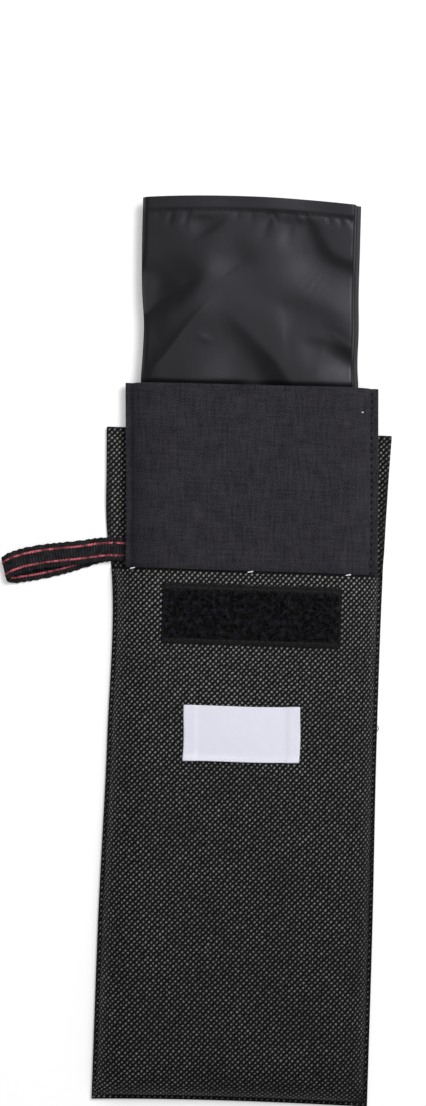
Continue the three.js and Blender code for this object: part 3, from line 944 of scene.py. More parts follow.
label_satin = satin_finish()
label_x, label_y = grid_over(label_low, label_high, label_step)
label_thick = label_thickness * label_doubling(label_x)
label_shape_x = label_x + side_waver * np.sin((label_y - label_low.y) / (5 * mm))
label_shape_y = label_y + label_slide(label_x) + end_waver * np.sin((label_x - label_low.x) / (9 * mm) + 1)
label_z = front_outside(label_x, label_y) + label_lift(label_x, label_y) + label_thick / 2
label_places = (label_shape_x, label_shape_y, label_z)
label, label_cut = cloth_piece("bare_label", label_places, label_thick, label_satin)
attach(label, "outer_case")
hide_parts("sewn_label")

label_thread = thread_finish("label_thread", paint(236, 236, 246), paint(255, 255, 255), 0.3)


def label_stitch_height(x, y):
    return front_outside(x, y) + label_lift(x, y) + label_thickness * label_doubling(x) + label_stitch_rise


label_ring = ring_line(label_low, label_high, label_stitch_inset, label_stitch_height)
label_ring = [(x, y + label_slide(x), z) for x, y, z in label_ring]
label_stitches = sewn_row(
    "label_stitches", [label_ring], "outer_case", "label_thread", label_thread,
    pitch=1.9 * mm, stitch_length=1.5 * mm, thread_width=0.3 * mm, thread_height=0.2 * mm,
)
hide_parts("label_stitching")


# Hanging loop. A length of dark ribbed webbing with two red threads woven along each face. Both
# ends are sewn flat on the back just below the fold, and the loop lies open to the left, its lower
# leg on the table and its upper leg a little ahead of it.

webbing_width = 10 * mm
webbing_thickness = 0.62 * mm
webbing_half = webbing_width / 2
rib_pitch, rib_share = 1.25 * mm, 0.14
red_line_offset, red_line_rise = 2.5 * mm, 0.05 * mm
webbing_step, across_step = 0.4 * mm, 0.6 * mm
tooth_height, waver_height, waver_length = 0.07 * mm, 0.15 * mm, 0.55 * mm
# Each point of the webbing's middle line: x, y and z in millimetres, and its turn in degrees.
webbing_route = np.array([
    (-45.0, 120.3, 1.05, 0),
    (-53.0, 120.3, 1.05, 0),
    (-59.0, 120.2, 1.02, 3),
    (-64.0, 119.3, 0.62, 12),
    (-70.0, 117.3, 0.45, 19),
    (-78.0, 114.5, 0.45, 17),
    (-88.0, 111.8, 0.45, 14),
    (-96.5, 110.1, 0.65, 10),
    (-101.3, 109.5, 1.1, 12),
    (-103.6, 110.4, 2.6, 15),
    (-101.5, 112.0, 4.1, 14),
    (-96.5, 114.1, 4.3, 13),
    (-88.0, 116.2, 3.6, 11),
    (-78.0, 117.7, 2.9, 10),
    (-70.0, 118.8, 2.4, 10),
    (-64.0, 119.9, 2.1, 6),
    (-59.0, 120.4, 1.9, 2),
    (-53.0, 120.5, 1.8, 0),
    (-45.0, 120.5, 1.8, 0),
])


def webbing_finish():
    """Dark grey grosgrain: ribs across it, with threads showing between them."""
    material, tree, shader = finish_of("webbing", roughness=0.7, gloss=0.12)
    warp_pitch = 0.5 * mm
    across, along, cut = counted_threads(tree, warp_pitch, rib_pitch)
    rib, warp = wave(tree, along, 2 * math.pi, "COSINE"), wave(tree, across, 2 * math.pi)
    weave = math_node(tree, "MULTIPLY_ADD", math_node(tree, "MULTIPLY_ADD", warp, 0.35, rib), 0.37, 0.5)
    patches = ramp(tree, mottle(tree, cut, 420.0, 4.0), 0.3, 0.7, 0.15, 1.0)
    near_black, dark_grey = paint(10, 11, 12), paint(53, 54, 57)
    tint(tree, shader, math_node(tree, "MULTIPLY", weave, patches), near_black, dark_grey)
    raise_surface(tree, shader, weave, 0.08 * mm, 0.7)
    return material


def red_yarn_finish():
    """Dull red yarn, whose patches go from a deep red to a pale red: painted shade and painted highlights
    along the yarn.
    """
    material, tree, shader = finish_of("red_yarn", roughness=0.6, gloss=0.25, sheen=0.2)
    patches = ramp(tree, mottle(tree, on_object(tree), 420.0, 4.0), 0.36, 0.64, 0, 1)
    deep_red, worn_red = paint(112, 30, 44), paint(226, 106, 122)
    tint(tree, shader, patches, deep_red, worn_red)
    raise_surface(tree, shader, patches, 0.05 * mm, 0.5)
    return material


webbing_cloth = webbing_finish()
red_yarn = red_yarn_finish()
route_spans = np.linalg.norm(np.diff(webbing_route[:, :3], axis=0), axis=1) * mm
route_knots = np.concatenate([[0], np.cumsum(route_spans)])
route_places = np.arange(0, route_knots[-1], webbing_step)
route = curve_through(route_knots, webbing_route, route_places)
middle_line = route[:, :3] * mm
turned_by = np.radians(route[:, 3])
sideways = np.stack([-np.sin(turned_by), np.cos(turned_by), 0 * turned_by], axis=-1)
# Places across the width, from the lower edge to the upper one, and how near an edge each is.
across_places = close_at_ends(webbing_width, across_step, (0, 0.25, 0.6)) - webbing_half
to_edge = np.abs(across_places) / webbing_half
rib_turn = 2 * np.pi * route_places / rib_pitch
edge_round = np.sqrt(np.clip(1 - to_edge**8, 0.12, 1))
webbing_thick = webbing_thickness * edge_round * (1 + rib_share * np.cos(rib_turn)[:, None])
edge_teeth = tooth_height * np.sin(rib_turn)
edge_waver = waver_height * wandering(route_places, waver_length, route_places, 2.7 * mm, 2)
edge_side = np.sign(across_places) * to_edge**6
reach = across_places + (edge_teeth + edge_waver)[:, None] * edge_side
webbing_points = middle_line[:, None, :] + sideways[:, None, :] * reach[..., None]
webbing, webbing_cut = cloth_piece(
    "webbing_loop", np.moveaxis(webbing_points, -1, 0), webbing_thick, webbing_cloth, weave_rise=1.0
)

line_normals = grid_normals(webbing_points)
red_lines, red_ups = [], []
for offset in (-red_line_offset, red_line_offset):
    column = int(np.argmin(np.abs(across_places - offset)))
    for face in (1, -1):
        ups = line_normals[:, column] * face
        red_lines.append(webbing_points[:, column] + ups * (webbing_thickness / 2 + red_line_rise))
        red_ups.append(ups)
red_threads = grown_piece(
    "red_webbing_threads", line_object(red_lines, red_ups), stitch_rows, material=red_yarn,
    pitch=1.2 * mm, stitch_length=1.6 * mm, thread_width=0.86 * mm, thread_height=0.34 * mm,
    slant=math.radians(24), unevenness=0.2,
)
for piece in (webbing, red_threads):
    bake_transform(piece)
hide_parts("loop_anchor_tab", "hanging_loop")

anchor_low, anchor_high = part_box("loop_anchor_stitching")
anchor_x = (anchor_low.x + anchor_high.x) / 2
anchor_shifts, anchor_margin, anchor_rise = (-1.0 * mm, -0.4 * mm), 0.6 * mm, 0.56 * mm
anchor_y = np.linspace(anchor_low.y + anchor_margin, anchor_high.y - anchor_margin, 8)
anchor_z = webbing_route[-1, 2] * mm + anchor_rise
anchor_lines = [[(anchor_x + shift, y, anchor_z) for y in anchor_y] for shift in anchor_shifts]
anchor_stitches = sewn_row(
    "loop_anchor_stitches", anchor_lines, "outer_case", "black_thread", black_thread,
    pitch=1.5 * mm, stitch_length=1.4 * mm,
)
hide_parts("loop_anchor_stitching")


# Cooling pouch. A bag of soft black cotton cloth with double walls. Each wall is an outer cloth
# whose top edge is turned in as a hem, over a thinner inner cloth, with a layer of crystals between.

pouch_cloth_thick, pouch_lining_thick = 0.5 * mm, 0.4 * mm
pouch_shoulder, pouch_hem = 16 * mm, 10 * mm
pouch_lips = (3.0 * mm, 3.5 * mm)
pouch_low, pouch_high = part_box("pouch_front_cloth")
pouch_back_low, pouch_back_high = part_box("pouch_back_cloth")
lining_low, lining_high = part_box("pouch_front_lining")
back_lining_low, back_lining_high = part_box("pouch_back_lining")
pouch_bottom, pouch_mouth = pouch_low.y, pouch_high.y
pouch_wall_top = pouch_mouth - pouch_hem - 0.4 * mm
pouch_step, pouch_back_step, lining_step = 1.4 * mm, 1.6 * mm, 1.8 * mm
# The pouch was drawn out a little askew, and the liner inside presses its edges through.
pouch_edges = edges_through(
    (-22.7, 60.0, 113.0, 191.0), (-53.0, -53.0, -51.9, -54.3), (54.6, 54.6, 55.2, 53.1)
)
liner_marks, mark_height, mark_width = (-47.2 * mm, 44.2 * mm), 0.22 * mm, 1.1 * mm
slack_height, slack_start = 0.2 * mm, (case_mouth + 4 * mm, case_mouth + 14 * mm)
mouth_slant, slant_start = (0.4 * mm, 1.3 * mm), (130 * mm, 175 * mm)
pouch_stitch_inset, left_stitch_inset = 2.7 * mm, 2.3 * mm
seam_sink, seam_dip_width = 0.4, 0.6 * mm


def slanted(x, y):
    """How far up a place of the pouch lies, because its mouth rises to the right."""
    share = np.clip((x - pouch_low.x) / (pouch_high.x - pouch_low.x), 0, 1)
    return y + (mouth_slant[0] + (mouth_slant[1] - mouth_slant[0]) * share) * ease(y, *slant_start)


def wall_height(x, y, edges, bottom, lips, shoulder, seam, crown):
    """Height of a bag's wall, which rises from its seams on round shoulders to a level crown. The
    lips are how far the left and the right seam lie inside the edges."""
    left, right = edges(y)
    to_side = np.minimum(x - left - lips[0], right - x - lips[1])
    return seam + (crown - seam) * rise(to_side, shoulder) * rise(y - bottom - lips[1], shoulder)


def pouch_height(x, y):
    """Height of the middle of the pouch's front cloth."""
    seam, crown = pouch_low.z + pouch_cloth_thick / 2, pouch_high.z - pouch_cloth_thick / 2
    height = wall_height(x, y, pouch_edges, pouch_bottom, pouch_lips, pouch_shoulder, seam, crown)
    marks = sum(bell(x - mark, mark_width) for mark in liner_marks)
    slack = wandering(x, 15 * mm, y, 24 * mm, 1.7) * np.sin(y / (19 * mm) + 0.6)
    return height + ease(y, *slack_start) * (mark_height * marks + slack_height * slack)


def slubs_in(tree, cut, shares, scale):
    """Random streaks, which run the way that has the smallest share."""
    drawn_out = add_node(tree, "ShaderNodeMapping", {"Vector": cut, "Scale": shares})["Vector"]
    return mottle(tree, drawn_out, scale, 3.0)


def plain_weave_finish(name, pitch, dark, light, depth):
    """Plain weave: threads over and under, with slubs both ways, specks and faint patches."""
    material, tree, shader = finish_of(name, roughness=0.9, gloss=0.08, sheen=0.04)
    across, along, cut = counted_threads(tree, pitch, pitch)
    weave = crossings(tree, across, along)
    slubs = slubs_in(tree, cut, (1.0, 0.12, 1.0), 900.0)
    cross_slubs = slubs_in(tree, cut, (0.12, 1.0, 1.0), 900.0)
    specks = mottle(tree, cut, 1900.0, 1.0)
    patches = mottle(tree, cut, 110.0, 4.0)
    tone = math_node(tree, "MULTIPLY", weave, 0.25)
    for pattern, weight in ((slubs, 0.45), (cross_slubs, 0.35), (specks, 0.9), (patches, 0.25)):
        tone = math_node(tree, "MULTIPLY_ADD", pattern, weight, tone)
    tint(tree, shader, ramp(tree, tone, 0.75, 1.45, 0, 1), dark, light)
    raise_surface(tree, shader, math_node(tree, "MULTIPLY_ADD", slubs, 0.4, weave), depth, 0.7)
    return material


pouch_cloth = plain_weave_finish(
    "pouch_cotton", pitch=0.42 * mm, dark=paint(24, 23, 27), light=paint(62, 60, 66), depth=0.08 * mm
)
pouch_lining = plain_weave_finish(
    "pouch_inner_cotton", pitch=0.34 * mm, dark=paint(22, 21, 25), light=paint(50, 48, 54), depth=0.06 * mm
)

pouch_fold = (pouch_high.z - pouch_cloth_thick / 2 - (lining_high.z - pouch_lining_thick / 2)) / 2
pouch_rows, pouch_inset = hemmed_rows(pouch_bottom, pouch_mouth, pouch_step, pouch_hem, pouch_fold)
pouch_x, pouch_y = grid_between(*pouch_edges(pouch_rows), pouch_rows, pouch_step)


def shoulder_share(x, lips, shoulder):
    """0 at the side seams of a grid of rows and 1 past its shoulders."""
    return rise(np.minimum(x - x[:, :1] - lips[0], x[:, -1:] - x - lips[1]), shoulder)


# The hem's inner layer comes near the outer one at the seams, where both are sewn together.
seam_gap = pouch_cloth_thick + 0.1 * mm
least_inset = seam_gap / (2 * pouch_fold)
inset_share = least_inset + (1 - least_inset) * shoulder_share(pouch_x, pouch_lips, pouch_shoulder)
pouch_z = pouch_height(pouch_x, pouch_y) - pouch_inset[:, None] * inset_share
from_stitches = np.minimum(
    pouch_x - pouch_x[:, :1] - left_stitch_inset, pouch_x[:, -1:] - pouch_x - pouch_stitch_inset
)
pouch_thickness = pouch_cloth_thick * (1 - seam_sink * bell(from_stitches, seam_dip_width))
pouch_front, pouch_front_cut = cloth_piece(
    "pouch_front", (pouch_x, slanted(pouch_x, pouch_y), pouch_z), pouch_thickness, pouch_cloth
)


def inner_cloth(name, low, high):
    """An inner cloth of the pouch. It has no hem, and its columns crowd at the seams, where it rises."""
    rows = (pouch_bottom + close_at_ends(pouch_wall_top - pouch_bottom, lining_step))[:, None]
    left, right = pouch_edges(rows)
    columns = round(1.4 * float(np.mean(right - left)) / lining_step)
    x = left + (right - left) * (1 - np.cos(np.linspace(0, math.pi, columns))) / 2
    seam, crown = low.z + pouch_lining_thick / 2, high.z - pouch_lining_thick / 2
    z = wall_height(x, rows, pouch_edges, pouch_bottom, pouch_lips, pouch_shoulder, seam, crown)
    return cloth_piece(name, (x, rows, z), pouch_lining_thick, pouch_lining)


pouch_front_inner, pouch_front_inner_cut = inner_cloth("pouch_front_inner", lining_low, lining_high)
pouch_back_inner, pouch_back_inner_cut = inner_cloth("pouch_back_inner", back_lining_low, back_lining_high)
pouch_back_middle = (pouch_back_low.z + pouch_back_high.z) / 2
pouch_back_fold = 0.5 * (back_lining_high.z - pouch_lining_thick / 2 - pouch_back_middle)
pouch_back_rows, pouch_back_inset = hemmed_rows(
    pouch_bottom, pouch_mouth, pouch_back_step, pouch_hem, pouch_back_fold
)
pouch_back_x, pouch_back_y = grid_between(*pouch_edges(pouch_back_rows), pouch_back_rows, pouch_back_step)
back_share = 0.45 + 0.55 * shoulder_share(pouch_back_x, pouch_lips, pouch_shoulder)
pouch_back_z = pouch_back_middle + pouch_back_inset[:, None] * back_share
pouch_back, pouch_back_cut = cloth_piece(
    "pouch_back", (pouch_back_x, slanted(pouch_back_x, pouch_back_y), pouch_back_z),
    pouch_cloth_thick, pouch_cloth,
)
for piece, node, cut, slot_name, below in (
    (pouch_back, "pouch_back_cloth", pouch_back_cut, "pouch_cloth", back_and_flap),
    (pouch_back_inner, "pouch_back_lining", pouch_back_inner_cut, "pouch_lining", pouch_back),
    (pouch_front_inner, "pouch_front_lining", pouch_front_inner_cut, "pouch_lining", pouch_back_inner),
    (pouch_front, "pouch_front_cloth", pouch_front_cut, "pouch_cloth", pouch_front_inner),
):
    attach(piece, "cooling_pouch")
    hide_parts(node)


# Crystals. Dry grains of water-swelling polymer, loose between the two cloths of each wall. They
# swell when the pouch is soaked and cool it as they dry.

grain_radius = 0.3 * mm
grains_per_m2 = 1.5e5


def grain_finish():
    """Clear off-white grains."""
    material, tree, shader = finish_of("polymer_grains", roughness=0.25, gloss=0.5)
    pale_grey, clear_white = paint(196, 200, 204), paint(236, 238, 240)
    tint(tree, shader, mottle(tree, on_object(tree), 700.0), pale_grey, clear_white)
    shader.inputs["Transmission Weight"].default_value = 0.35
    return material


def grain_tree():
    """Scatters small uneven grains through a thin layer."""
    tree, start, end = growth_tree(
        "crystal_grains", "Grains",
        ("Layer", "Geometry", None), ("Grains per area", "Float", grains_per_m2),
        ("Grain radius", "Float", grain_radius), ("Seed", "Int", 11),
    )
    ball = {"Subdivisions": 1, "Radius": start["Grain radius"]}
    full_turn, least_size, most_size = (6.28,) * 3, (0.6,) * 3, (1.15,) * 3
    copies = {
        "Points": scattered(tree, start["Layer"], start["Grains per area"], start["Seed"]),
        "Instance": add_node(tree, "GeometryNodeMeshIcoSphere", ball)["Mesh"],
        "Rotation": chance_between(tree, (0, 0, 0), full_turn, start["Seed"]),
        "Scale": chance_between(tree, least_size, most_size, start["Seed"]),
    }
    set_out(tree, start["Material"], end, copies, smooth=False)
    return tree


polymer_grains = grain_finish()
grain_nodes = grain_tree()
for wall, seed in (("front", 11), ("back", 12)):
    node = f"crystal_layer_{wall}"
    layer_low, layer_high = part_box(node)
    layer_x, layer_y = np.meshgrid(
        np.linspace(layer_low.x, layer_high.x, 12), np.linspace(layer_low.y, layer_high.y, 24)
    )
    layer = patch_object(layer_x, layer_y, (layer_low.z + layer_high.z) / 2)
    grains = grown_piece(f"{wall}_crystals", layer, grain_nodes, seed=seed, material=polymer_grains)
    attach(grains, "cooling_pouch")
    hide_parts(node)


# Seams of the pouch. Thick black thread closes its sides and its bottom in short stitches that sink
# into the cloth, and finer stitches hold the turned hems.

pouch_lip_top = pouch_low.z + pouch_cloth_thick + 0.04 * mm
left_row_sink = 0.34 * mm
pouch_seams = bag_seams(
    pouch_edges, pouch_bottom, pouch_mouth - seam_end_gap, pouch_stitch_inset, (110, 50),
    (left_stitch_inset, pouch_lip_top - left_row_sink), (pouch_stitch_inset, pouch_lip_top), pouch_lip_top,
)
pouch_thread = thread_finish("pouch_thread", paint(3, 3, 4), paint(12, 12, 14), 0.05)
pouch_stitches = sewn_row(
    "pouch_seam_stitches", pouch_seams, "cooling_pouch", "black_thread", pouch_thread,
    pitch=3.0 * mm, stitch_length=1.7 * mm, thread_width=1.0 * mm, thread_height=0.4 * mm,
)
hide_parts("pouch_left_seam_thread", "pouch_right_seam_thread", "pouch_bottom_seam_thread")

hem_row_rise, hem_row_margin, hem_row_sink = 1.2 * mm, 6 * mm, 0.04 * mm
hem_y = pouch_mouth - pouch_hem + hem_row_rise
hem_left, hem_right = (float(edge) for edge in pouch_edges(np.array(hem_y)))
hem_x = np.linspace(hem_left + hem_row_margin, hem_right - hem_row_margin, 90)
hem_z = pouch_height(hem_x, hem_y + 0 * hem_x) + pouch_cloth_thick / 2 - hem_row_sink
front_hem_line = list(zip(hem_x, slanted(hem_x, hem_y), hem_z))
back_hem_low, back_hem_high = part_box("pouch_back_hem_thread")
back_hem_z = pouch_back_middle + 2 * pouch_back_fold + pouch_cloth_thick / 2
back_hem_line = [(x, hem_y, back_hem_z) for x in np.linspace(back_hem_low.x, back_hem_high.x, 60)]
pouch_hem_stitches = sewn_row(
    "pouch_hem_stitches", [front_hem_line, back_hem_line], "cooling_pouch", "black_thread", black_thread,
    pitch=2.9 * mm, stitch_length=2.2 * mm, thread_height=0.22 * mm,
)
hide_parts("pouch_front_hem_thread", "pouch_back_hem_thread")


# Liner. A thin bag of black nylon that keeps what it holds dry. Its slippery cloth lies in soft
# folds, and the stitched hem round its mouth draws it into small puckers.

liner_thickness = 0.3 * mm
liner_shoulder, liner_lip, liner_hem = 14 * mm, 2 * mm, 6 * mm
liner_low, liner_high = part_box("liner_front_panel")
liner_back_low, liner_back_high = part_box("liner_back_panel")
liner_bottom, liner_mouth = liner_low.y, liner_high.y
liner_step, liner_back_step = 0.9 * mm, 1.5 * mm
liner_hem_fold, liner_back_fold = 0.2 * mm, 0.17 * mm
packed_ripple = 0.4 * mm
loose_rise, loose_swell, loose_reach, loose_slack = 1.8 * mm, 1.9 * mm, 34 * mm, 0.1 * mm
left_turn, left_shoulder, right_shoulder = 0.25 * mm, 2.2 * mm, 0.9 * mm
lip_rise, lip_reach = 0.45 * mm, 30 * mm
groove_depth, groove_width = 0.32 * mm, 0.6 * mm
hem_step_height, hem_wave_height, hem_wave_length = 0.42 * mm, 0.25 * mm, 7.1 * mm
tuck_depth, tuck_width = 1.1 * mm, 1.3 * mm
least_gap = 0.35 * mm
mouth_arch_middle, mouth_arch_half, mouth_arch_drop = -8 * mm, 45 * mm, 1.8 * mm
arch_start = (240 * mm, 266 * mm)
liner_edges = edges_through(
    (71.9, 180.0, 193.0, 201.0, 217.0, 231.0, 251.0, 272.0),
    (-47.3, -47.3, -47.9, -47.6, -47.4, -48.6, -49.3, -49.5),
    (45.3, 45.0, 44.5, 43.9, 43.9, 43.4, 43.3, 43.2),
)
# Folds of the drawn-out part. Each has a crest along some points, falls away on one side of it
# (1 for the left of the way it runs, -1 for the right) and comes up again slowly. Then follow the
# roundness of the crest, the width of the fall at both ends and depths along it. All lengths are
# millimetres.
liner_folds = (
    ([(-15, 226), (-9, 219.5), (0, 211), (8, 203), (14, 195), (19, 187)],
     -1, 0.8, (6, 14), (0, 1.6, 3.2, 3.4)),
    ([(19, 274), (23.5, 264), (27, 256), (32, 249), (42, 245), (50, 242)],
     -1, 1.2, (5, 6.5), (0, 1.1, 1.7, 1.8)),
    ([(17, 213.5), (24, 213.2), (30, 212.3), (36, 210), (43, 206), (50, 202)],
     -1, 0.7, (4.5, 6), (0, 0.7, 1.6, 1.8)),
    ([(26, 221), (35, 217), (40, 212.8), (46, 208)], -1, 1.2, (3, 4), (0, 0.6, 1.0)),
    ([(4, 228.5), (12, 230), (22, 229), (32, 225), (41, 218)], -1, 2.2, (6, 7), (0, 0.5, 0.45, 0)),
    ([(-13, 259), (-7, 253), (-1, 247), (3, 239)], -1, 2.6, (6, 7), (0, 0.55, 0)),
    ([(-11, 266), (-17, 258), (-24, 253), (-32, 250)], -1, 1.2, (4, 6), (0.4, 0.8, 0)),
    ([(-54, 219.5), (-45, 217), (-36, 213)], -1, 1.0, (3, 3), (0.4, 0.25, 0)),
    ([(-54, 209), (-45, 208), (-40, 208.5)], -1, 1.0, (3, 3), (0.4, 0.25, 0)),
)
# Ridges, which fall away on both sides: points, roundness, width of the left and of the right fall,
# and heights along it. A negative height makes a valley.
liner_ridges = (
    ([(-54, 186), (-47, 194), (-40, 201), (-35, 208), (-29, 216), (-23, 223), (-14, 231)],
     0.7, 2.0, 3.4, (1.0, 1.0, 0.9, 0.6, 0)),
    ([(-60, 217), (-47, 223), (-39, 227.5), (-31, 233), (-23, 241)],
     1.2, 8.0, 3.0, (-2.0, -2.0, -1.8, -1.0, 0)),
    ([(-46, 218), (-36, 222), (-28, 228), (-22, 238), (-19, 249)], 3.5, 6.0, 9.0, (0, 0.9, 1.1, 0.6, 0)),
    ([(29, 217), (33, 214.5), (37, 211.8), (42, 208), (47, 204.5)], 0.6, 1.0, 1.4, (0, 0.4, 0.6, 0.6)),
    ([(-26, 213.5), (-22, 211.5), (-17, 209.5)], 0.5, 0.8, 1.0, (0, 0.25, 0)),
)
# The hollow at the left edge: middle, reach along and across, turn in degrees, and depth.
left_hollow = (-49, 232, 17, 8, 32, 2.2)
# Puckers along the hem: where each starts, where it dies out, its half width and its depth.
liner_puckers = (
    ((-43, 264.5), (-41, 260), 0.9, 0.15),
    ((-37, 264.5), (-38.5, 258), 1.2, 0.3),
    ((-30, 265), (-32.5, 257), 1.4, 0.35),
    ((-9, 265.5), (-10.5, 261), 1.0, 0.15),
    ((-3, 265.5), (-4, 260), 1.2, 0.18),
    ((6, 265.5), (8.5, 260.5), 0.9, 0.4),
    ((4.5, 264), (0.5, 253), 2.6, 0.4),
    ((15, 265), (16, 260.5), 0.9, 0.35),
    ((19, 265), (21.5, 260.5), 1.0, 0.35),
    ((13, 262), (11, 249), 2.6, 0.3),
    ((29, 264.5), (31, 260), 0.8, 0.2),
    ((34, 264), (36, 259.5), 1.0, 0.3),
    ((38, 264), (43, 258), 1.2, 0.4),
)


def near_path(x, y, points):
    """How far each place is from a smooth line, to which side and past which end, and its share along."""
    line = np.array(points) * mm
    line = curve_through(np.arange(len(line)), line, np.linspace(0, len(line) - 1, 6 * len(line)))
    nearest, share, side = np.full(x.shape, np.inf), np.zeros(x.shape), np.zeros(x.shape)
    lengths = np.linalg.norm(np.diff(line, axis=0), axis=1)
    passed = 0.0
    for start, end, length in zip(line[:-1], line[1:], lengths):
        way = (end - start) / length
        t = np.clip((x - start[0]) * way[0] + (y - start[1]) * way[1], 0, length)
        distance = np.hypot(x - start[0] - t * way[0], y - start[1] - t * way[1])
        closer = distance < nearest
        nearest = np.where(closer, distance, nearest)
        share = np.where(closer, (passed + t) / lengths.sum(), share)
        side = np.where(closer, way[0] * (y - start[1]) - way[1] * (x - start[0]), side)
        passed += length
    side = np.clip(side, -nearest, nearest)
    return side, np.sqrt(np.maximum(nearest**2 - side**2, 0)), share


def spread_along(share, values):
    """Values spaced evenly along a line, read smoothly at shares of its length."""
    place = np.clip(share, 0, 1) * (len(values) - 1)
    first = np.minimum(place.astype(int), len(values) - 2)
    values = np.array(values, float)
    return values[first] + (values[first + 1] - values[first]) * ease(place - first, 0, 1)


def one_sided_fold(x, y, points, falls_to, roundness, widths, depths):
    """A crest whose cloth falls away on one side and comes up again slowly."""
    recovery = 1.9
    side, past, share = near_path(x, y, points)
    width = (widths[0] + (widths[1] - widths[0]) * share) * mm
    across = falls_to * side
    across = (across + np.sqrt(across**2 + (roundness * mm) ** 2)) / 2 / width
    fall = np.sin(np.minimum(across, 1) * math.pi / 2) * bell(np.maximum(across - 1, 0), recovery)
    return -spread_along(share, depths) * mm * fall * bell(past, width)


def ridge(x, y, points, roundness, left_width, right_width, heights):
    """A crest whose cloth falls away on both sides."""
    side, past, share = near_path(x, y, points)
    distance = np.hypot(side, past)
    leaning = ease(side / np.maximum(distance, 1e-9), -1, 1)
    width = (right_width + (left_width - right_width) * leaning) * mm
    fall = np.exp((roundness * mm - np.hypot(distance, roundness * mm)) / width)
    return spread_along(share, heights) * mm * fall


def hollow(x, y, middle_x, middle_y, along, across, turn, depth):
    """A soft oval dent."""
    angle = math.radians(turn)
    way_x, way_y = x - middle_x * mm, y - middle_y * mm
    run = (way_x * math.cos(angle) + way_y * math.sin(angle)) / (along * mm)
    reach = (way_y * math.cos(angle) - way_x * math.sin(angle)) / (across * mm)
    return -depth * mm * np.exp(-(run**2) - reach**2)


def pucker(x, y, start, end, half_width, depth):
    """A small crease that is deepest at the stitches and widens as it dies out."""
    way = (np.array(end) - np.array(start)) * mm
    length = np.hypot(*way)
    run = ((x - start[0] * mm) * way[0] + (y - start[1] * mm) * way[1]) / length**2
    off = ((x - start[0] * mm) * way[1] - (y - start[1] * mm) * way[0]) / length
    width = half_width * mm * (0.7 + 0.6 * np.clip(run, 0, 1.5))
    return -depth * mm * (1 - ease(run, 0.1, 1.2)) * ease(run, -0.4, 0.0) * bell(off, width)


def mouth_drop(x):
    """How far the mouth's edge lies below its highest point."""
    return mouth_arch_drop * ((x - mouth_arch_middle) / mouth_arch_half) ** 2


def arched(x, y):
    """How far up a place of the liner lies, because the edge of its mouth is an arch."""
    return y - mouth_drop(x) * ease(y, *arch_start)


def packed_height(x, y, seam):
    """Height of the liner's front inside the pouch, where it lies in shallow ripples."""
    crown, lips = liner_high.z - liner_thickness / 2, (liner_lip, liner_lip)
    height = wall_height(x, y, liner_edges, liner_bottom, lips, liner_shoulder, seam, crown)
    ripple = wandering(x, 7 * mm, y, 23 * mm, 1.6) * np.sin(y / (29 * mm) + x / (38 * mm))
    return height + packed_ripple * ripple * ((height - seam) / (crown - seam)) ** 3


def drawn_folds(x, y, from_left, below_stitch):
    """The folds of the part that is drawn out. They end below the hem's stitches, where puckers start,
    and the liner is tucked down where it comes out under the pouch's hem."""
    folds = sum(one_sided_fold(x, y, *fold) for fold in liner_folds)
    ridges = sum(ridge(x, y, *crest) for crest in liner_ridges)
    folds = folds + np.minimum(ridges, 0) + np.maximum(ridges, 0) * ease(from_left, 1 * mm, 6 * mm)
    folds = folds + hollow(x, y, *left_hollow)
    puckers = sum(pucker(x, y, *crease) for crease in liner_puckers)
    folds = folds * ease(below_stitch, 0, 5 * mm) + puckers * ease(below_stitch, -0.5 * mm, 0.5 * mm)
    return folds - tuck_depth * bell(y - slanted(x, pouch_mouth), tuck_width)


def hem_shape(x, below_stitch):
    """The groove of the hem's stitches, and the step up to the doubled cloth, which waves a little."""
    groove = -groove_depth * bell(below_stitch, groove_width)
    step = hem_step_height * (1 - ease(below_stitch, -0.6 * mm, 0.4 * mm))
    waves = hem_wave_height * np.sin(x / hem_wave_length + 1.0) * (1 - ease(below_stitch, -1 * mm, 3 * mm))
    return groove + step + waves


def liner_height(x, y):
    """Height of the middle of the liner's front cloth. Where it is drawn out it lies flatter."""
    seam = liner_low.z + liner_thickness / 2
    left, right = liner_edges(y)
    from_left, from_right = x - left - left_turn, right - x - liner_lip
    below_stitch = liner_mouth - mouth_drop(x) - y - liner_hem
    out_of_pouch = ease(y, pouch_mouth + 3 * mm, pouch_mouth + 11 * mm)
    left_turn_width = left_shoulder * (1.7 - 0.7 * out_of_pouch)
    edge_turn = rise(from_left, left_turn_width) * rise(from_right, right_shoulder)
    swell = loose_swell * np.sin(np.clip(from_left / loose_reach, 0, 1) * math.pi / 2)
    slack = wandering(x, 6.3 * mm, y, 9 * mm, 1.9) * np.sin(y / (7.7 * mm) + x / (21 * mm))
    shape = loose_rise + swell + drawn_folds(x, y, from_left, below_stitch) + loose_slack * slack
    lip_slope = lip_rise * np.clip((right - x) / liner_lip, 0, 1) * (1 - ease(from_right, 0, lip_reach))
    loose = seam + lip_slope + edge_turn * (shape + hem_shape(x, below_stitch))
    packed = packed_height(x, y, seam)
    drawn_out = ease(y, pouch_mouth - 25 * mm, pouch_mouth + 3 * mm)
    lowest = liner_back_high.z + least_gap
    above = packed + (loose - packed) * drawn_out - lowest
    return lowest + (above + np.sqrt(above**2 + least_gap**2)) / 2


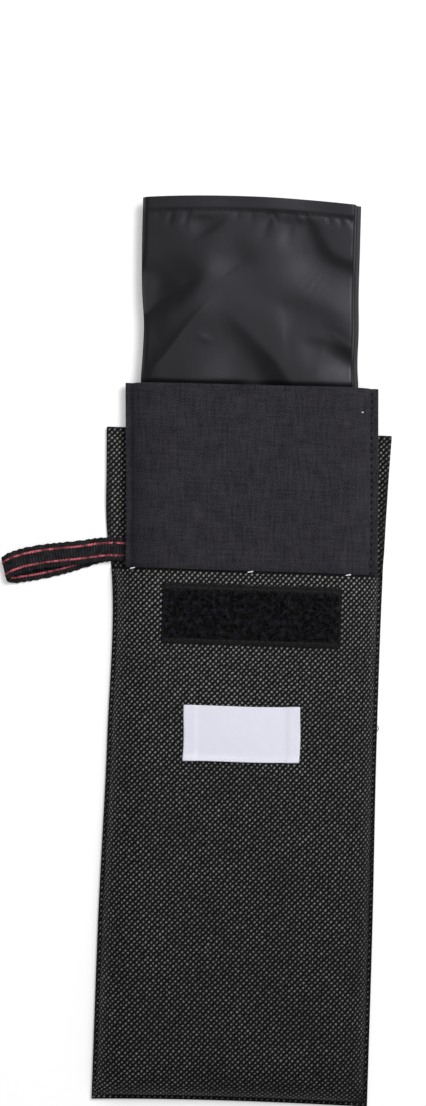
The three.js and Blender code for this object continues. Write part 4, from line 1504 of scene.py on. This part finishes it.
def nylon_finish():
    """Black nylon taffeta: very fine weave with a soft shine."""
    material, tree, shader = finish_of("liner_taffeta", roughness=0.38, gloss=0.32)
    shader.inputs["Specular Tint"].default_value = (0.93, 0.91, 1.0, 1.0)
    warp_pitch, weft_pitch = 0.2 * mm, 0.24 * mm
    across, along, cut = counted_threads(tree, warp_pitch, weft_pitch)
    weave = crossings(tree, across, along)
    streaks = slubs_in(tree, cut, (1.0, 0.1, 1.0), 800.0)
    patches = ramp(tree, mottle(tree, cut, 90.0, 3.0), 0.3, 0.7, 0, 1)
    tone = math_node(tree, "MULTIPLY_ADD", weave, 0.3, math_node(tree, "MULTIPLY", streaks, 0.7))
    deep_black, soft_black = paint(11, 10, 13), paint(27, 26, 30)
    tint(tree, shader, tone, deep_black, soft_black)
    tree.links.new(ramp(tree, patches, 0, 1, 0.36, 0.42), shader.inputs["Roughness"])
    raise_surface(tree, shader, weave, 0.03 * mm, 0.4)
    return material


liner_taffeta = nylon_finish()
liner_rows, liner_inset = hemmed_rows(liner_bottom, liner_mouth, liner_step, liner_hem, liner_hem_fold)
liner_x, liner_y = grid_between(*liner_edges(liner_rows), liner_rows, liner_step)
liner_y = arched(liner_x, liner_y)
liner_z = liner_height(liner_x, liner_y) - liner_inset[:, None]
liner_front, liner_front_cut = cloth_piece(
    "liner_front", (liner_x, liner_y, liner_z), liner_thickness, liner_taffeta
)
liner_back_rows, liner_back_inset = hemmed_rows(
    liner_bottom, liner_mouth, liner_back_step, liner_hem, liner_back_fold
)
liner_back_x, liner_back_y = grid_between(*liner_edges(liner_back_rows), liner_back_rows, liner_back_step)
liner_back_middle = (liner_back_low.z + liner_back_high.z) / 2
liner_back_z = liner_back_middle + liner_back_inset[:, None]
liner_back, liner_back_cut = cloth_piece(
    "liner_back", (liner_back_x, arched(liner_back_x, liner_back_y), liner_back_z),
    liner_thickness, liner_taffeta,
)
for piece, node, cut, below in (
    (liner_back, "liner_back_panel", liner_back_cut, pouch_back_inner),
    (liner_front, "liner_front_panel", liner_front_cut, liner_back),
):
    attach(piece, "liner")
    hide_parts(node)

liner_stitch_inset, liner_seam_end_gap = 1.2 * mm, 4 * mm
liner_lip_top = liner_low.z + liner_thickness
liner_seams = bag_seams(
    liner_edges, liner_bottom, liner_mouth - liner_seam_end_gap, liner_stitch_inset, (110, 50),
    (left_turn, liner_low.z), (0.95 * liner_lip, liner_lip_top), liner_lip_top,
)
liner_stitches = sewn_row(
    "liner_seam_stitches", liner_seams, "liner", "black_thread", black_thread,
    pitch=2.4 * mm, stitch_length=1.8 * mm, thread_width=0.34 * mm, thread_height=0.24 * mm,
)
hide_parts("liner_left_seam_thread", "liner_right_seam_thread", "liner_bottom_seam_thread")

hem_left_margin, hem_right_margin = 3 * mm, 3.6 * mm
liner_hem_rise, liner_back_hem_rise = 0.06 * mm, 0.02 * mm
liner_hem_left, liner_hem_right = (float(edge) for edge in liner_edges(np.array(liner_mouth - liner_hem)))
liner_hem_x = np.linspace(liner_hem_left + hem_left_margin, liner_hem_right - hem_right_margin, 120)
liner_hem_y = liner_mouth - mouth_drop(liner_hem_x) - liner_hem
liner_hem_z = liner_height(liner_hem_x, liner_hem_y) + liner_thickness / 2 + liner_hem_rise
liner_back_hem_low, liner_back_hem_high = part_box("liner_back_hem_thread")
liner_back_hem_x = np.linspace(liner_back_hem_low.x, liner_back_hem_high.x, 50)
liner_back_hem_y = liner_mouth - mouth_drop(liner_back_hem_x) - 0.8 * liner_hem
liner_back_hem_z = liner_back_middle + 2 * liner_back_fold + liner_thickness / 2 + liner_back_hem_rise
liner_hem_lines = [
    list(zip(liner_hem_x, liner_hem_y, liner_hem_z)),
    [(x, y, liner_back_hem_z) for x, y in zip(liner_back_hem_x, liner_back_hem_y)],
]
liner_hem_stitches = sewn_row(
    "liner_hem_stitches", liner_hem_lines, "liner", "black_thread", black_thread,
    pitch=2.3 * mm, stitch_length=1.9 * mm, thread_width=0.7 * mm, thread_height=0.34 * mm,
)
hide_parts("liner_front_hem_thread", "liner_back_hem_thread")


# Loose ends. Three tiny ends of white basting thread stick out along the mouth of the case, one
# on the pouch's hem, and an end of black seam thread at the right edge.

tack_size = {
    "pitch": 2.0 * mm, "stitch_length": 1.6 * mm, "thread_width": 0.55 * mm, "thread_height": 0.4 * mm,
}
mouth_tack_x = (-48.6 * mm, 1.2 * mm, 42.6 * mm)
tack_half, tack_tilt, tack_rise = 0.5 * mm, 0.2 * mm, 0.1 * mm
tack_y = case_mouth - tack_tilt
tack_lines = []
for x in mouth_tack_x:
    tack_z = float(front_outside(np.array(x), np.array(tack_y))) + tack_rise
    tack_lines.append([(x - tack_half, tack_y, tack_z), (x + tack_half, tack_y + tack_tilt, tack_z)])
sewn_row("mouth_tacks", tack_lines, "outer_case", "label_thread", label_thread, **tack_size)

pouch_tack_x, pouch_tack_y = 46.1 * mm, 181.9 * mm
pouch_tack_z = float(pouch_height(np.array(pouch_tack_x), np.array(pouch_tack_y))) + pouch_cloth_thick / 2
pouch_tack = [(pouch_tack_x + end * tack_half, pouch_tack_y, pouch_tack_z) for end in (-1, 1)]
speck_size = dict(tack_size, stitch_length=0.9 * mm, thread_width=0.6 * mm)
sewn_row("pouch_tack", [pouch_tack], "cooling_pouch", "label_thread", label_thread, **speck_size)

thread_end_y, thread_end_z = 47.7 * mm, 0.9 * mm
thread_end_x = float(case_edges(np.array(thread_end_y))[1])
thread_end = [
    (thread_end_x + out * mm, thread_end_y + up * mm, thread_end_z)
    for out, up in ((-0.8, 1.2), (0.2, 0.9), (0.9, 0.1), (0.6, -0.9), (-0.2, -1.4))
]
sewn_row(
    "seam_thread_end", [thread_end], "outer_case", "black_thread", black_thread,
    pitch=0.7 * mm, stitch_length=1.1 * mm, thread_width=0.35 * mm, thread_height=0.35 * mm,
)
